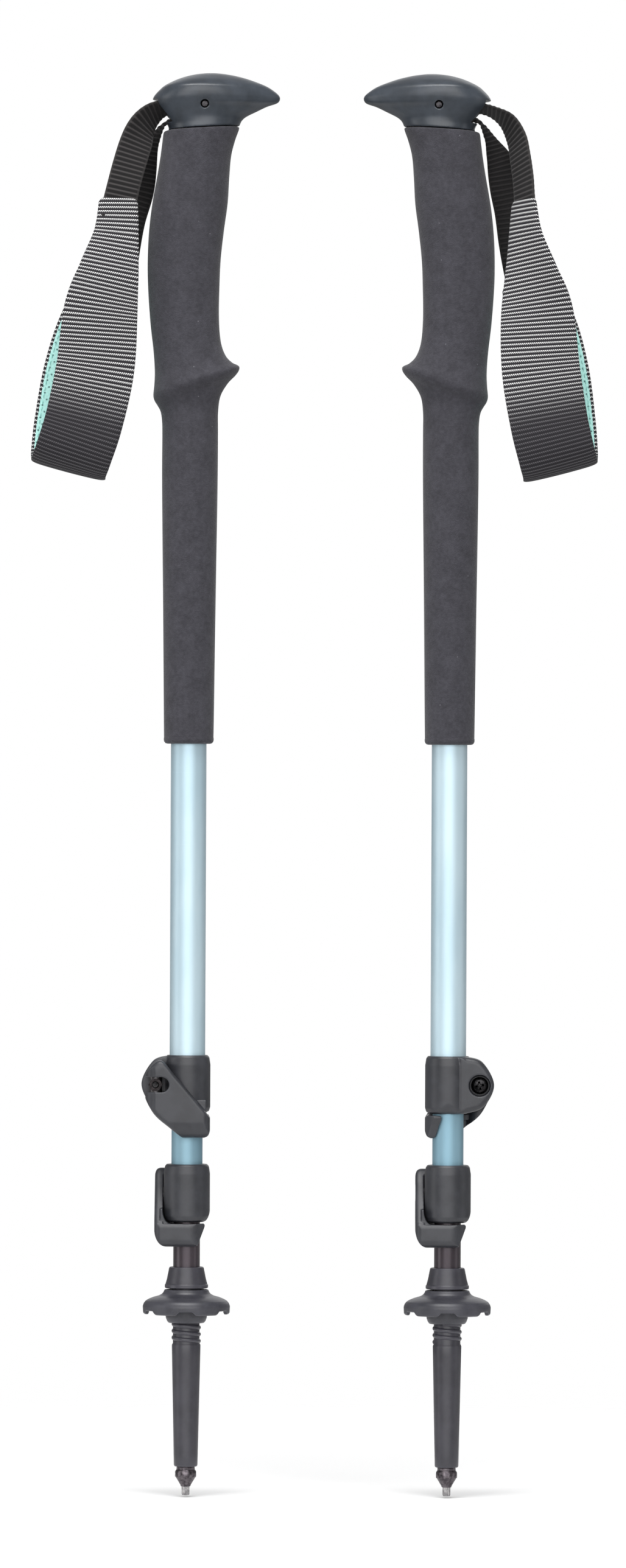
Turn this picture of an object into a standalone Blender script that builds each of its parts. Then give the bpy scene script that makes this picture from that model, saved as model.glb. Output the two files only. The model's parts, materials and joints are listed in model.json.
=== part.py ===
"""A pair of three-section trekking poles, pushed together and standing side by side on their tips.

Each pole is built about its own axis: +Z up, +X towards the beak of the head, with the carbide tip
on Z = 0. An empty then places it, so every piece is made once and used for both poles. The sizes
below are millimetres; meshes are scaled to metres as they are made.
"""

import math

import bmesh
import bpy
from mathutils import Matrix, Vector

MM = 0.001
RUNNING_GAP = 0.3

# Shafts: outer radii, one wall, and the heights of their ends in the collapsed pole
SHAFT_WALL = 0.7
UPPER_SHAFT_RADIUS = 8.0
MIDDLE_SHAFT_RADIUS = 7.0
LOWER_SHAFT_RADIUS = 6.0
UPPER_SHAFT_SPAN = (174.3, 612.0)
MIDDLE_SHAFT_SPAN = (125.3, 534.0)
LOWER_SHAFT_SPAN = (95.6, 478.0)
ROUND_SIDES = 24
SMALL_SIDES = 16
FINE_SIDES = 12
SLIT_WIDTH = 1.6
SLIT_LENGTH = 26.0
BUSH_FLANGE = 3.0
BUSH_STEM = 12.0

# Lever locks: heights are counted from the underside of the collar
COLLAR_HEIGHT = 26.0
COLLAR_RADIUS = 10.4
COLLAR_LIP = 1.4
UPPER_COLLAR_Z = 172.3
LOWER_COLLAR_Z = 123.2
EAR_REACH = 20.6
EAR_GAP = 1.6
LEVER_EAR_FACE = 4.2
SCREW_EAR_FACE = 9.4
PIVOT_X = -14.1
PIVOT_Y = -9.4
PIVOT_Z = 12.9
CAM_REACH = 4.9
CAM_LIFT = 0.25
PLATE_OUTER_Y = -14.5
PLATE_INNER_Y = -10.75
HOOK_BOTTOM = -11.0
HOOK_TOP = -0.7
HOOK_OUTER_RADIUS = 10.4
SLOT_HALF_HEIGHT = 3.4
SLOT_END_X = -8.0
BARREL_RADIUS = 2.9
BARREL_HALF_LENGTH = 7.8
SCREW_RADIUS = 1.5
SCREW_HEAD_RADIUS = 3.9
SCREW_SEAT = 5.3
RECESS_RADIUS = 4.9
NUT_ACROSS_FLATS = 5.5
NUT_SPAN = (-13.7, -12.3)

# Grip and head
GRIP_BOTTOM = 338.5
GRIP_TOP = 616.2
GRIP_BORE = UPPER_SHAFT_RADIUS + RUNNING_GAP
SEAM_SLOPE = 0.06
HEAD_BOTTOM = GRIP_TOP + 0.4
HEAD_TOP = 640.6
HEAD_STEM_BOTTOM = 585.0
PIN_X = 4.4
PIN_Z = 627.0
PIN_RADIUS = 1.6
PIN_HALF_LENGTH = 14.6
STRAP_SLOT_HALF_WIDTH = 10.2
STRAP_SLOT_FLOOR = 618.8
STRAP_SLOT_CEILING = 628.6
STRAP_POCKET_CEILING = 631.6

# Wrist strap: webbing looped at the head, then the wide padded band
STRAP_PIVOT_X = -20.9
STRAP_PIVOT_Z = 624.0
WEBBING_WIDTH = 19.0
WEBBING_THICKNESS = 1.8
BAND_THICKNESS = 2.6

# Tip: flexible moulding, thread, basket, metal ferrule and carbide point
TIP_BOTTOM = 12.9
THREAD_BOTTOM = 69.6
THREAD_TURNS = 3
THREAD_PITCH = 2.2
THREAD_ROOT = 6.2
THREAD_CREST = 6.65
CONE_BOTTOM = 93.3
CONE_TOP = 102.9
CONE_WIDE = 9.75
CONE_NARROW = 7.75
TIP_STEM_TOP = 128.0
BASKET_RADIUS = 19.9
BASKET_BORE = 7.0
BASKET_TEETH = 6
CARBIDE_RADIUS = 1.9
CARBIDE_TOP = 4.7

# The two poles face opposite ways, and their axes are placed so that the pair is centred on the
# origin. "front" is the side of the strap that faces forwards, and "sway" how far its band hangs out.
PAIR_Y = -0.35
POLES = (
    {"name": "left", "x": -56.05, "turn": 0.0, "front": -1.0, "sway": 1.0, "lower_yaw": -90.0},
    {"name": "right", "x": 61.45, "turn": 180.0, "front": 1.0, "sway": 0.76, "lower_yaw": 90.0},
)

FINISHES = {
    "head_plastic": ((0.085, 0.100, 0.120), 0.42, 0.0),
    "grip_foam": ((0.055, 0.055, 0.062), 0.90, 0.0),
    "upper_alloy": ((0.53, 0.66, 0.72), 0.28, 0.85),
    "middle_alloy": ((0.40, 0.61, 0.67), 0.28, 0.85),
    "lower_alloy": ((0.070, 0.055, 0.060), 0.22, 0.85),
    "lock_plastic": ((0.083, 0.084, 0.092), 0.45, 0.0),
    "tip_plastic": ((0.075, 0.074, 0.083), 0.48, 0.0),
    "bush_plastic": ((0.030, 0.030, 0.032), 0.50, 0.0),
    "black_steel": ((0.025, 0.025, 0.028), 0.30, 0.9),
    "bright_steel": ((0.45, 0.45, 0.47), 0.30, 1.0),
    "carbide": ((0.16, 0.16, 0.17), 0.35, 1.0),
    "webbing": ((0.020, 0.018, 0.019), 0.85, 0.0),
    "band_weave": ((0.20, 0.19, 0.20), 0.85, 0.0),
}


# ---------------------------------------------------------------- helpers

def clear_scene():
    for item in list(bpy.data.objects):
        bpy.data.objects.remove(item, do_unlink=True)


def finish(name):
    """A Principled material of its own for one piece."""
    colour, roughness, metallic = FINISHES[name]
    material = bpy.data.materials.new(name)
    material.use_nodes = True
    shader = material.node_tree.nodes["Principled BSDF"]
    shader.inputs["Base Color"].default_value = (*colour, 1.0)
    shader.inputs["Roughness"].default_value = roughness
    shader.inputs["Metallic"].default_value = metallic
    material.diffuse_color = (*colour, 1.0)
    return material


def solid(name, bm):
    """Close a bmesh into an object, faces outwards, still in millimetres."""
    bmesh.ops.remove_doubles(bm, verts=bm.verts, dist=0.0005)
    bmesh.ops.dissolve_degenerate(bm, edges=bm.edges, dist=0.0005)
    bmesh.ops.recalc_face_normals(bm, faces=bm.faces)
    mesh = bpy.data.meshes.new(name)
    bm.to_mesh(mesh)
    bm.free()
    item = bpy.data.objects.new(name, mesh)
    bpy.context.scene.collection.objects.link(item)
    return item


def combine(target, tool, operation):
    """Apply one exact Boolean and drop the tool."""
    step = target.modifiers.new(operation.lower(), "BOOLEAN")
    step.operation = operation
    step.solver = "EXACT"
    step.object = tool
    bpy.context.view_layer.update()
    graph = bpy.context.evaluated_depsgraph_get()
    result = bpy.data.meshes.new_from_object(target.evaluated_get(graph))
    target.modifiers.clear()
    target.data = result
    bpy.data.objects.remove(tool, do_unlink=True)
    return target


def cut(target, *tools):
    for tool in tools:
        combine(target, tool, "DIFFERENCE")
    return target


def join(target, *tools):
    for tool in tools:
        combine(target, tool, "UNION")
    return target


def turned(name, outline, sides=ROUND_SIDES, closed=True):
    """Spin a (radius, height) outline about Z. An open outline starts and ends on the axis."""
    bm = bmesh.new()
    points = [bm.verts.new((radius, 0.0, height)) for radius, height in outline]
    edges = [bm.edges.new(pair) for pair in zip(points, points[1:])]
    if closed:
        edges.append(bm.edges.new((points[-1], points[0])))
    bmesh.ops.spin(bm, geom=points + edges, cent=(0, 0, 0), axis=(0, 0, 1), angle=math.tau,
                   steps=sides, use_merge=True)
    return solid(name, bm)


def rod(name, radius, low, high, sides=SMALL_SIDES, matrix=None):
    """A plain cylinder between two heights, turned to another axis by a matrix if given."""
    bm = bmesh.new()
    bmesh.ops.create_cone(bm, cap_ends=True, segments=sides, radius1=radius, radius2=radius,
                          depth=high - low, matrix=Matrix.Translation((0, 0, (low + high) / 2)))
    if matrix:
        bm.transform(matrix)
    return solid(name, bm)


def block(name, low, high):
    """A box between two opposite corners."""
    size = [b - a for a, b in zip(low, high)]
    middle = [(a + b) / 2 for a, b in zip(low, high)]
    bm = bmesh.new()
    bmesh.ops.create_cube(bm, size=1.0,
                          matrix=Matrix.Translation(middle) @ Matrix.Diagonal((*size, 1.0)))
    return solid(name, bm)


def stacked(name, rings, tube=False):
    """Skin rings of equal count. A tube closes on itself; otherwise both ends are capped."""
    bm = bmesh.new()
    loops = [[bm.verts.new(point) for point in ring] for ring in rings]
    count = len(loops[0])
    pairs = list(zip(loops, loops[1:]))
    if tube:
        pairs.append((loops[-1], loops[0]))
    for lower, upper in pairs:
        for i in range(count):
            j = (i + 1) % count
            bm.faces.new((lower[i], lower[j], upper[j], upper[i]))
    if not tube:
        bm.faces.new(loops[0])
        bm.faces.new(loops[-1])
    return solid(name, bm)


def smooth_path(points, steps, closed=False):
    """Catmull-Rom points through rows of numbers of any length."""
    count = len(points)
    spans = count if closed else count - 1
    result = []
    for i in range(spans):
        if closed:
            rows = [points[(i + k) % count] for k in (-1, 0, 1, 2)]
        else:
            rows = [points[min(max(i + k, 0), count - 1)] for k in (-1, 0, 1, 2)]
        for step in range(steps):
            t = step / steps
            result.append(tuple(
                0.5 * (2 * b + (c - a) * t + (2 * a - 5 * b + 4 * c - d) * t * t
                       + (3 * b - a - 3 * c + d) * t ** 3)
                for a, b, c, d in zip(*rows)))
    if not closed:
        result.append(tuple(points[-1]))
    return result


def inset(outline, amount):
    """Move a counter-clockwise plane outline inwards along its corner normals."""
    moved = []
    count = len(outline)
    for i, (x, y) in enumerate(outline):
        before = Vector(outline[i - 1])
        after = Vector(outline[(i + 1) % count])
        run = (after - before).normalized()
        moved.append((x - run.y * amount, y + run.x * amount))
    return moved


def slab(name, outline, low, high, rounding, plane):
    """Extrude a counter-clockwise outline with rounded rims. Plane maps (u, v, w) to a point."""
    low_round, high_round = rounding
    levels = []
    for angle in (90, 45, 0) if low_round else (0,):
        part = math.radians(angle)
        levels.append((low + low_round * (1 - math.sin(part)), low_round * (1 - math.cos(part))))
    for angle in (0, 45, 90) if high_round else (0,):
        part = math.radians(angle)
        levels.append((high - high_round * (1 - math.sin(part)), high_round * (1 - math.cos(part))))
    rings = [[plane(u, v, w) for u, v in inset(outline, amount)] for w, amount in levels]
    return stacked(name, rings)


def flat_xz(u, v, w):
    """An outline drawn in X and Z, thick along Y."""
    return (u, w, v)


def flat_xy(u, v, w):
    """An outline drawn in X and Y, thick along Z."""
    return (u, v, w)


def ribbon(name, stations, thickness):
    """Sweep a flat strap. A station is x, y, z, width and the turn and dip of its width."""
    rings = []
    for i, (x, y, z, width, turn, dip) in enumerate(stations):
        ahead = Vector(stations[min(i + 1, len(stations) - 1)][:3])
        behind = Vector(stations[max(i - 1, 0)][:3])
        along = (ahead - behind).normalized()
        flat = math.cos(math.radians(dip))
        across = Vector((math.cos(math.radians(turn)) * flat, math.sin(math.radians(turn)) * flat,
                         math.sin(math.radians(dip))))
        across = (across - along * across.dot(along)).normalized()
        face = along.cross(across)
        here = Vector((x, y, z))
        rings.append([here + across * (a * width / 2) + face * (b * thickness / 2)
                      for a, b in ((1, 1), (-1, 1), (-1, -1), (1, -1))])
    return stacked(name, rings)


def put(item, finish_name, holder, origin, smooth=30.0):
    """Scale a finished piece to metres, set its origin, give it its finish and hang it on a pole."""
    mesh = item.data
    mesh.transform(Matrix.Scale(MM, 4) @ Matrix.Translation(-Vector(origin)))
    mesh.shade_smooth()
    mesh.set_sharp_from_angle(angle=math.radians(smooth))
    mesh.materials.clear()
    mesh.materials.append(finish(finish_name))
    item.location = Vector(origin) * MM
    item.parent = holder
    return item


def turn_about_axis(item, degrees):
    """Turn a mesh about the pole's own axis."""
    item.data.transform(Matrix.Rotation(math.radians(degrees), 4, "Z"))
    return item


# ---------------------------------------------------------------- shafts

def shaft(name, radius, span, slit_yaw=None):
    """A thin tube. Its clamped end is slit so that the collar can squeeze it."""
    low, high = span
    bore = radius - SHAFT_WALL
    tube = turned(name, [(radius, low), (radius, high), (bore, high), (bore, low)])
    if slit_yaw is not None:
        slit = block("slit", (-radius - 2, -SLIT_WIDTH / 2, low - 5),
                     (0, SLIT_WIDTH / 2, low + SLIT_LENGTH))
        cut(tube, turn_about_axis(slit, slit_yaw))
    return tube


def shaft_bush(name, radius, top):
    """The plug that guides a shaft's upper end inside the next shaft."""
    bore = radius - SHAFT_WALL
    stem = bore - RUNNING_GAP
    low = top - BUSH_STEM
    seat = top + RUNNING_GAP
    crown = seat + BUSH_FLANGE
    return turned(name, [(stem - 1.6, low), (stem, low), (stem, seat),
                         (radius, seat), (radius, crown), (stem - 1.6, crown)], SMALL_SIDES)


# ---------------------------------------------------------------- lever lock

def arc(centre, radius, start, end, steps):
    """Points on a circle, angles in degrees."""
    points = []
    for step in range(steps + 1):
        angle = math.radians(start + (end - start) * step / steps)
        points.append((centre[0] + radius * math.cos(angle), centre[1] + radius * math.sin(angle)))
    return points


def ear_outline():
    """Side view of an ear: a full round nose that runs back into the collar."""
    low, high = 0.3, COLLAR_HEIGHT - 0.3
    nose = -EAR_REACH
    rim = smooth_path([(-8.0, high), (nose + 5.2, high - 2.4), (nose, 13.2), (nose + 4.6, 3.4),
                       (-8.0, low)], 3)
    return rim + [(-4.0, low), (-4.0, high)]


def lock_collar(name, z, tube_radius, inner_radius, yaw):
    """A split clamp: round sleeve with two ears that the cam lever draws together."""
    bore = tube_radius + RUNNING_GAP
    lip = inner_radius + RUNNING_GAP + 0.05
    top = COLLAR_HEIGHT
    sleeve = turned(name, [(0, 0), (COLLAR_RADIUS - 2.2, 0), (COLLAR_RADIUS - 0.6, 0.8),
                           (COLLAR_RADIUS, 2.6), (COLLAR_RADIUS, top - 4.2),
                           (COLLAR_RADIUS - 0.5, top - 1.0), (COLLAR_RADIUS - 1.3, top), (0, top)],
                    closed=False)
    join(sleeve, slab("ears", ear_outline(), -LEVER_EAR_FACE, SCREW_EAR_FACE, (0.9, 2.4), flat_xz))
    across = Matrix.Translation((PIVOT_X, 0, PIVOT_Z)) @ Matrix.Rotation(math.radians(-90), 4, "X")
    hollow = [
        rod("screw_cut", SCREW_RADIUS + RUNNING_GAP, -15, 15, FINE_SIDES, across),
        rod("recess_cut", RECESS_RADIUS, SCREW_SEAT - RUNNING_GAP, 15, SMALL_SIDES, across),
        turned("bore_cut", [(0, -5), (lip, -5), (lip, COLLAR_LIP), (bore, COLLAR_LIP),
                            (bore, top + 5), (0, top + 5)], closed=False),
        block("slit_cut", (-EAR_REACH - 5, -EAR_GAP / 2, -5), (-2, EAR_GAP / 2, top + 5)),
    ]
    cut(sleeve, *hollow)
    sleeve.data.transform(Matrix.Translation((0, 0, z)))
    return turn_about_axis(sleeve, yaw)


def lever_outline():
    """Side view of the lever: cam end at the top left, running down to the hook corner."""
    cam_end = smooth_path([(8.8, 0.4), (-4.8, 16.4), (-12.6, 23.8), (-20.1, 13.4), (-15.6, 0.8),
                           (-7.4, -6.8), (-1.7, -11.2)], 3)
    return [(7.4, -11.2), (9.6, -10.2), (10.3, -8.4), (10.3, -2.2)] + cam_end


def cam_outline():
    """Top view of the plate and its cam: an off-centre round that bears on the ear."""
    centre = (PIVOT_X, PIVOT_Y + CAM_LIFT)
    radius = CAM_REACH - CAM_LIFT
    nose = arc(centre, radius, 0, 250, 10)
    corner = arc((HOOK_OUTER_RADIUS - 3.6, PLATE_OUTER_Y + 3.6), 3.6, -90, 0, 4)
    return [(HOOK_OUTER_RADIUS, PLATE_INNER_Y), (PIVOT_X + 5.6, PLATE_INNER_Y)] + nose \
        + [(PIVOT_X, PLATE_OUTER_Y)] + corner


def hook_outline(inner_radius):
    """Top view of the hook. Past the tube's far side its inner face follows the pivot's circle."""
    pivot = Vector((PIVOT_X, PIVOT_Y))
    clear = inner_radius + RUNNING_GAP + 0.1
    reach = pivot.length + clear
    far = math.degrees(math.atan2(-pivot.y, -pivot.x))
    tip_height = 8.0
    tip_angle = math.degrees(math.asin((tip_height - pivot.y) / reach))
    outer_end = math.degrees(math.asin((tip_height + 0.6) / HOOK_OUTER_RADIUS))
    outer = arc((0, 0), HOOK_OUTER_RADIUS, -6, outer_end, 6)
    swing = arc(pivot, reach, tip_angle, far, 4)
    around = arc((0, 0), clear, far, -88, 8)
    corner = arc((HOOK_OUTER_RADIUS - 3.6, PLATE_OUTER_Y + 3.6), 3.6, -90, -6, 4)
    return [(-4.0, PLATE_OUTER_Y)] + corner + outer + swing[:-1] + around + [(-4.0, -clear - 1.6)]


def lock_lever(name, z, inner_radius, yaw):
    """The cam lever: plate, two cam knuckles either side of a slot, and the hook below."""
    lever = slab(name, lever_outline(), -20, 5, (0, 0), flat_xz)
    combine(lever, slab("cam", cam_outline()[::-1], HOOK_BOTTOM - 5, COLLAR_HEIGHT, (0, 0), flat_xy),
            "INTERSECT")
    hook = slab("hook", hook_outline(inner_radius), HOOK_BOTTOM, HOOK_TOP, (1.2, 0.6), flat_xy)
    join(lever, hook)
    half = SLOT_HALF_HEIGHT
    slot_centre = SLOT_END_X - half
    along_y = Matrix.Translation((slot_centre, 0, PIVOT_Z)) @ Matrix.Rotation(math.radians(90), 4, "X")
    barrel_bore = Matrix.Translation((PIVOT_X, PIVOT_Y, PIVOT_Z))
    length = BARREL_HALF_LENGTH + RUNNING_GAP
    slot = block("slot", (-30, -25, PIVOT_Z - half), (slot_centre, 0, PIVOT_Z + half))
    join(slot, rod("slot_end", half, 0, 25, SMALL_SIDES, along_y))
    bore = rod("bore", BARREL_RADIUS + RUNNING_GAP, -length, length, SMALL_SIDES, barrel_bore)
    cut(lever, slot, bore)
    lever.data.transform(Matrix.Translation((0, 0, z)))
    return turn_about_axis(lever, yaw)


def lock_barrel(name, z, yaw):
    """The cross barrel that the lever turns on, drilled for the screw."""
    barrel = rod(name, BARREL_RADIUS, -BARREL_HALF_LENGTH, BARREL_HALF_LENGTH, SMALL_SIDES,
                 Matrix.Translation((PIVOT_X, PIVOT_Y, PIVOT_Z)))
    across = Matrix.Translation((PIVOT_X, 0, PIVOT_Z)) @ Matrix.Rotation(math.radians(-90), 4, "X")
    cut(barrel, rod("hole", SCREW_RADIUS + RUNNING_GAP, -20, 5, FINE_SIDES, across))
    barrel.data.transform(Matrix.Translation((0, 0, z)))
    return turn_about_axis(barrel, yaw)


def lock_screw(name, z, yaw):
    """The tension screw: pan head with a cross recess, shank through ears, barrel and nut."""
    seat, crown = SCREW_SEAT, SCREW_SEAT + 2.7
    screw = turned(name, [(0, NUT_SPAN[0] - 0.3), (SCREW_RADIUS, NUT_SPAN[0] - 0.3),
                          (SCREW_RADIUS, seat), (SCREW_HEAD_RADIUS, seat),
                          (SCREW_HEAD_RADIUS - 0.3, seat + 1.6), (SCREW_HEAD_RADIUS - 1.5, crown),
                          (0, crown)], FINE_SIDES, closed=False)
    long, thin = 2.2, 0.45
    cross = block("cross", (-long, -thin, seat + 1.0), (long, thin, crown + 1))
    join(cross, block("cross_b", (-thin, -long, seat + 1.0), (thin, long, crown + 1)))
    cut(screw, cross)
    screw.data.transform(Matrix.Translation((PIVOT_X, 0, PIVOT_Z + z))
                         @ Matrix.Rotation(math.radians(-90), 4, "X"))
    return turn_about_axis(screw, yaw)


def lock_nut(name, z, yaw):
    """The hexagon nut seen in the lever's slot."""
    corner = NUT_ACROSS_FLATS / math.sqrt(3)
    low, high = NUT_SPAN
    across = Matrix.Translation((PIVOT_X, 0, PIVOT_Z)) @ Matrix.Rotation(math.radians(-90), 4, "X")
    nut = rod(name, corner, low, high, 6, across @ Matrix.Rotation(math.radians(30), 4, "Z"))
    cut(nut, rod("thread", SCREW_RADIUS + RUNNING_GAP, low - 2, high + 2, FINE_SIDES, across))
    nut.data.transform(Matrix.Translation((0, 0, z)))
    return turn_about_axis(nut, yaw)


# ---------------------------------------------------------------- grip, head and strap

# Height, slope, back, front and half width of the foam
GRIP_STATIONS = [
    (GRIP_BOTTOM, 0.0, -10.4, 10.4, 10.4), (340.5, 0.0, -11.2, 11.2, 11.2),
    (399.0, 0.0, -11.8, 11.8, 11.8), (454.0, 0.0, -12.5, 12.5, 12.5),
    (478.0, 0.0, -12.5, 12.6, 12.5), (486.0, 0.12, -12.8, 12.7, 12.7),
    (492.0, 0.25, -13.6, 13.9, 13.1), (496.5, 0.32, -15.4, 18.0, 13.7),
    (500.3, 0.325, -16.5, 22.0, 14.2), (504.5, 0.30, -16.1, 19.4, 14.0),
    (510.0, 0.24, -16.0, 15.8, 13.6), (518.0, 0.16, -16.6, 13.6, 13.4),
    (530.0, 0.08, -18.1, 12.8, 13.5), (545.0, 0.03, -19.2, 13.0, 13.8),
    (557.0, 0.0, -19.4, 13.5, 14.0), (570.0, 0.0, -18.8, 14.9, 14.1),
    (582.0, 0.0, -17.4, 16.5, 14.2), (594.0, 0.0, -15.8, 17.2, 14.3),
    (604.0, 0.02, -14.5, 18.0, 14.5), (610.5, 0.04, -13.9, 19.7, 14.7),
    (GRIP_TOP, SEAM_SLOPE, -13.5, 21.6, 14.9),
]

# Height, slope, back, front, half width and how far the front narrows
HEAD_STATIONS = [
    (HEAD_BOTTOM, SEAM_SLOPE, -12.6, 21.8, 14.7, 0.08), (618.8, 0.05, -11.5, 22.7, 14.7, 0.10),
    (621.0, 0.02, -11.9, 24.6, 15.0, 0.16), (623.8, 0.0, -14.2, 29.0, 15.8, 0.25),
    (625.6, 0.0, -15.9, 34.0, 16.3, 0.33), (627.2, 0.0, -16.9, 38.6, 16.6, 0.39),
    (628.9, 0.0, -17.2, 39.9, 16.8, 0.42), (630.6, 0.0, -16.5, 39.5, 16.6, 0.42),
    (632.6, 0.0, -14.7, 37.3, 15.9, 0.42), (634.8, 0.0, -12.2, 33.8, 14.5, 0.40),
    (636.9, 0.0, -8.3, 28.6, 12.2, 0.36), (638.6, 0.0, -4.0, 23.3, 9.2, 0.30),
    (639.9, 0.0, 1.0, 17.4, 5.6, 0.20), (HEAD_TOP, 0.0, 6.0, 12.0, 2.0, 0.0),
]


def oval(height, slope, back, front, half_width, narrowing=0.0, sides=ROUND_SIDES, fullness=0.93):
    """One level section: an oval between back and front, fuller than an ellipse if wanted."""
    middle = (front + back) / 2
    reach = (front - back) / 2
    ring = []
    for i in range(sides):
        angle = math.tau * i / sides
        c, s = math.cos(angle), math.sin(angle)
        x = middle + reach * math.copysign(abs(c) ** fullness, c)
        y = half_width * math.copysign(abs(s) ** fullness, s) * (1 - narrowing * c)
        ring.append((x, y, height + slope * x))
    return ring


def foam_grip(name):
    """The moulded foam: shaped hand grip with a finger flare, and a plain lower sleeve."""
    rings = [oval(*station) for station in GRIP_STATIONS]
    sides = len(rings[0])
    for height, slope in ((GRIP_TOP, SEAM_SLOPE), (GRIP_BOTTOM, 0.0)):
        rings.append([(x, y, height + slope * x)
                      for x, y in arc((0, 0), GRIP_BORE, 0, 360 - 360 / sides, sides - 1)])
    return stacked(name, rings, tube=True)


def head_cap(name):
    """The hard head: dome and beak, a pocket for the strap, and a stem down into the shaft."""
    head = stacked(name, [oval(*station, fullness=0.97) for station in HEAD_STATIONS])
    stem = UPPER_SHAFT_RADIUS - SHAFT_WALL - RUNNING_GAP
    join(head, turned("stem", [(0, HEAD_STEM_BOTTOM), (stem - 1, HEAD_STEM_BOTTOM),
                               (stem, HEAD_STEM_BOTTOM + 1.5), (stem, HEAD_BOTTOM + 2),
                               (0, HEAD_BOTTOM + 2)], ROUND_SIDES, closed=False))
    wide = STRAP_SLOT_HALF_WIDTH
    pocket = block("pocket", (-5, -wide, STRAP_SLOT_FLOOR), (11, wide, STRAP_POCKET_CEILING))
    join(pocket, block("mouth", (-25, -wide, STRAP_SLOT_FLOOR), (-4, wide, STRAP_SLOT_CEILING)))
    cut(head, pocket, rod("pin_hole", PIN_RADIUS + RUNNING_GAP, -25, 25, SMALL_SIDES, pin_matrix()))
    return head


def pin_matrix():
    """Lays a turned piece along Y through the strap pin's centre."""
    return Matrix.Translation((PIN_X, 0, PIN_Z)) @ Matrix.Rotation(math.radians(-90), 4, "X")


def strap_wedge(name):
    """The wedge on the pin that the webbing is pulled tight against."""
    outline = [(10.0, 620.2), (10.0, 628.4), (7.6, 630.8), (2.0, 630.8), (-0.6, 628.6), (0.4, 620.2)]
    wedge = slab(name, outline, -9.6, 9.6, (0, 0), flat_xz)
    return cut(wedge, rod("bore", PIN_RADIUS + RUNNING_GAP, -15, 15, SMALL_SIDES, pin_matrix()))


def strap_tail(name):
    """The webbing inside the head: two layers joined where they pass the wedge."""
    back, front, layer = -17.1, -1.6, WEBBING_THICKNESS
    low, high = 619.9, 627.6
    outline = [(back, low), (front, low), (front, high), (back, high), (back, high - layer),
               (front - layer, high - layer), (front - layer, low + layer), (back, low + layer)]
    return slab(name, outline, -WEBBING_WIDTH / 2, WEBBING_WIDTH / 2, (0, 0), flat_xz)


def strap_webbing(name, pole):
    """The narrow webbing: up the front leg, round at the head, and down the back leg."""
    x, z, turn_radius = STRAP_PIVOT_X, STRAP_PIVOT_Z, 2.2
    front_leg = [(-31.9, -13.6, 586.6, 82), (-30.3, -11.8, 592.5, 72), (-27.4, -8.0, 604.0, 52),
                 (-25.4, -4.0, 615.5, 28), (-23.7, -1.0, 623.8, 8)]
    head_turn = [(x + turn_radius * math.sin(math.radians(a)), 0.0,
                  z + turn_radius * math.cos(math.radians(a)), 0) for a in (0, 45, 90, 135, 180)]
    back_leg = [(-22.4, 2.0, 615.0, 15), (-24.2, 6.5, 605.0, 45), (-24.4, 11.0, 592.0, 70),
                (-25.2, 13.8, 575.0, 82), (-28.2, 15.6, 561.0, 88), (-31.4, 16.4, 552.0, 90)]
    rows = smooth_path(front_leg + head_turn + back_leg, 2)
    return ribbon(name, [(px, -pole["front"] * py, pz, WEBBING_WIDTH,
                          90 - pole["front"] * turn, 0.0) for px, py, pz, turn in rows],
                  WEBBING_THICKNESS)


def strap_band(name, pole):
    """The wide band for the wrist: down the front, folded at the bottom, up the back."""
    top_x = -32.2
    rows = [(top_x, -14.2, 584.4, 19.0, 2.0), (-32.8, -15.3, 568.0, 22.0, 3.0),
            (-35.6, -16.4, 551.0, 28.5, 6.0), (-39.4, -17.0, 533.0, 34.5, 9.0),
            (-43.2, -17.2, 507.0, 36.5, 10.0), (-48.4, -16.8, 484.0, 36.0, 13.0),
            (-52.4, -13.8, 469.5, 35.0, 14.0), (-54.2, -7.0, 463.4, 34.5, 14.6),
            (-54.6, 0.0, 462.2, 34.5, 14.6), (-54.8, 7.0, 463.4, 34.5, 14.6),
            (-54.2, 13.8, 469.5, 35.0, 14.0), (-51.2, 16.8, 484.0, 36.0, 13.0),
            (-46.4, 17.2, 507.0, 36.5, 10.0), (-41.0, 17.1, 529.0, 33.0, 8.0),
            (-34.4, 16.8, 549.0, 24.0, 4.0)]
    placed = [(top_x + (x - top_x) * pole["sway"], -pole["front"] * y, z, width, 0.0, -dip)
              for x, y, z, width, dip in smooth_path(rows, 2)]
    return ribbon(name, placed, BAND_THICKNESS)


# ---------------------------------------------------------------- tip and basket

def flex_tip(name):
    """The flexible tip: long taper, screw thread for the basket, stop cone and inner stem."""
    thread = []
    for i in range(THREAD_TURNS):
        z = THREAD_BOTTOM + i * THREAD_PITCH
        thread += [(THREAD_ROOT, z), (THREAD_CREST, z + 0.9), (THREAD_ROOT, z + 1.8)]
    stem = LOWER_SHAFT_RADIUS - SHAFT_WALL - RUNNING_GAP
    socket = LOWER_SHAFT_RADIUS + RUNNING_GAP
    floor = LOWER_SHAFT_SPAN[0] - 0.5
    outline = [(2.9, TIP_BOTTOM), (5.1, TIP_BOTTOM), (5.35, TIP_BOTTOM + 0.8), (6.45, 67.5)]
    outline += thread + [
        (THREAD_ROOT, CONE_BOTTOM), (CONE_WIDE, CONE_BOTTOM), (CONE_WIDE, CONE_BOTTOM + 1.6),
        (CONE_WIDE - 0.35, CONE_BOTTOM + 1.8), (CONE_NARROW, CONE_TOP), (socket, CONE_TOP),
        (socket, floor), (stem, floor), (stem, TIP_STEM_TOP), (2.9, TIP_STEM_TOP)]
    return turned(name, outline)


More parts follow.
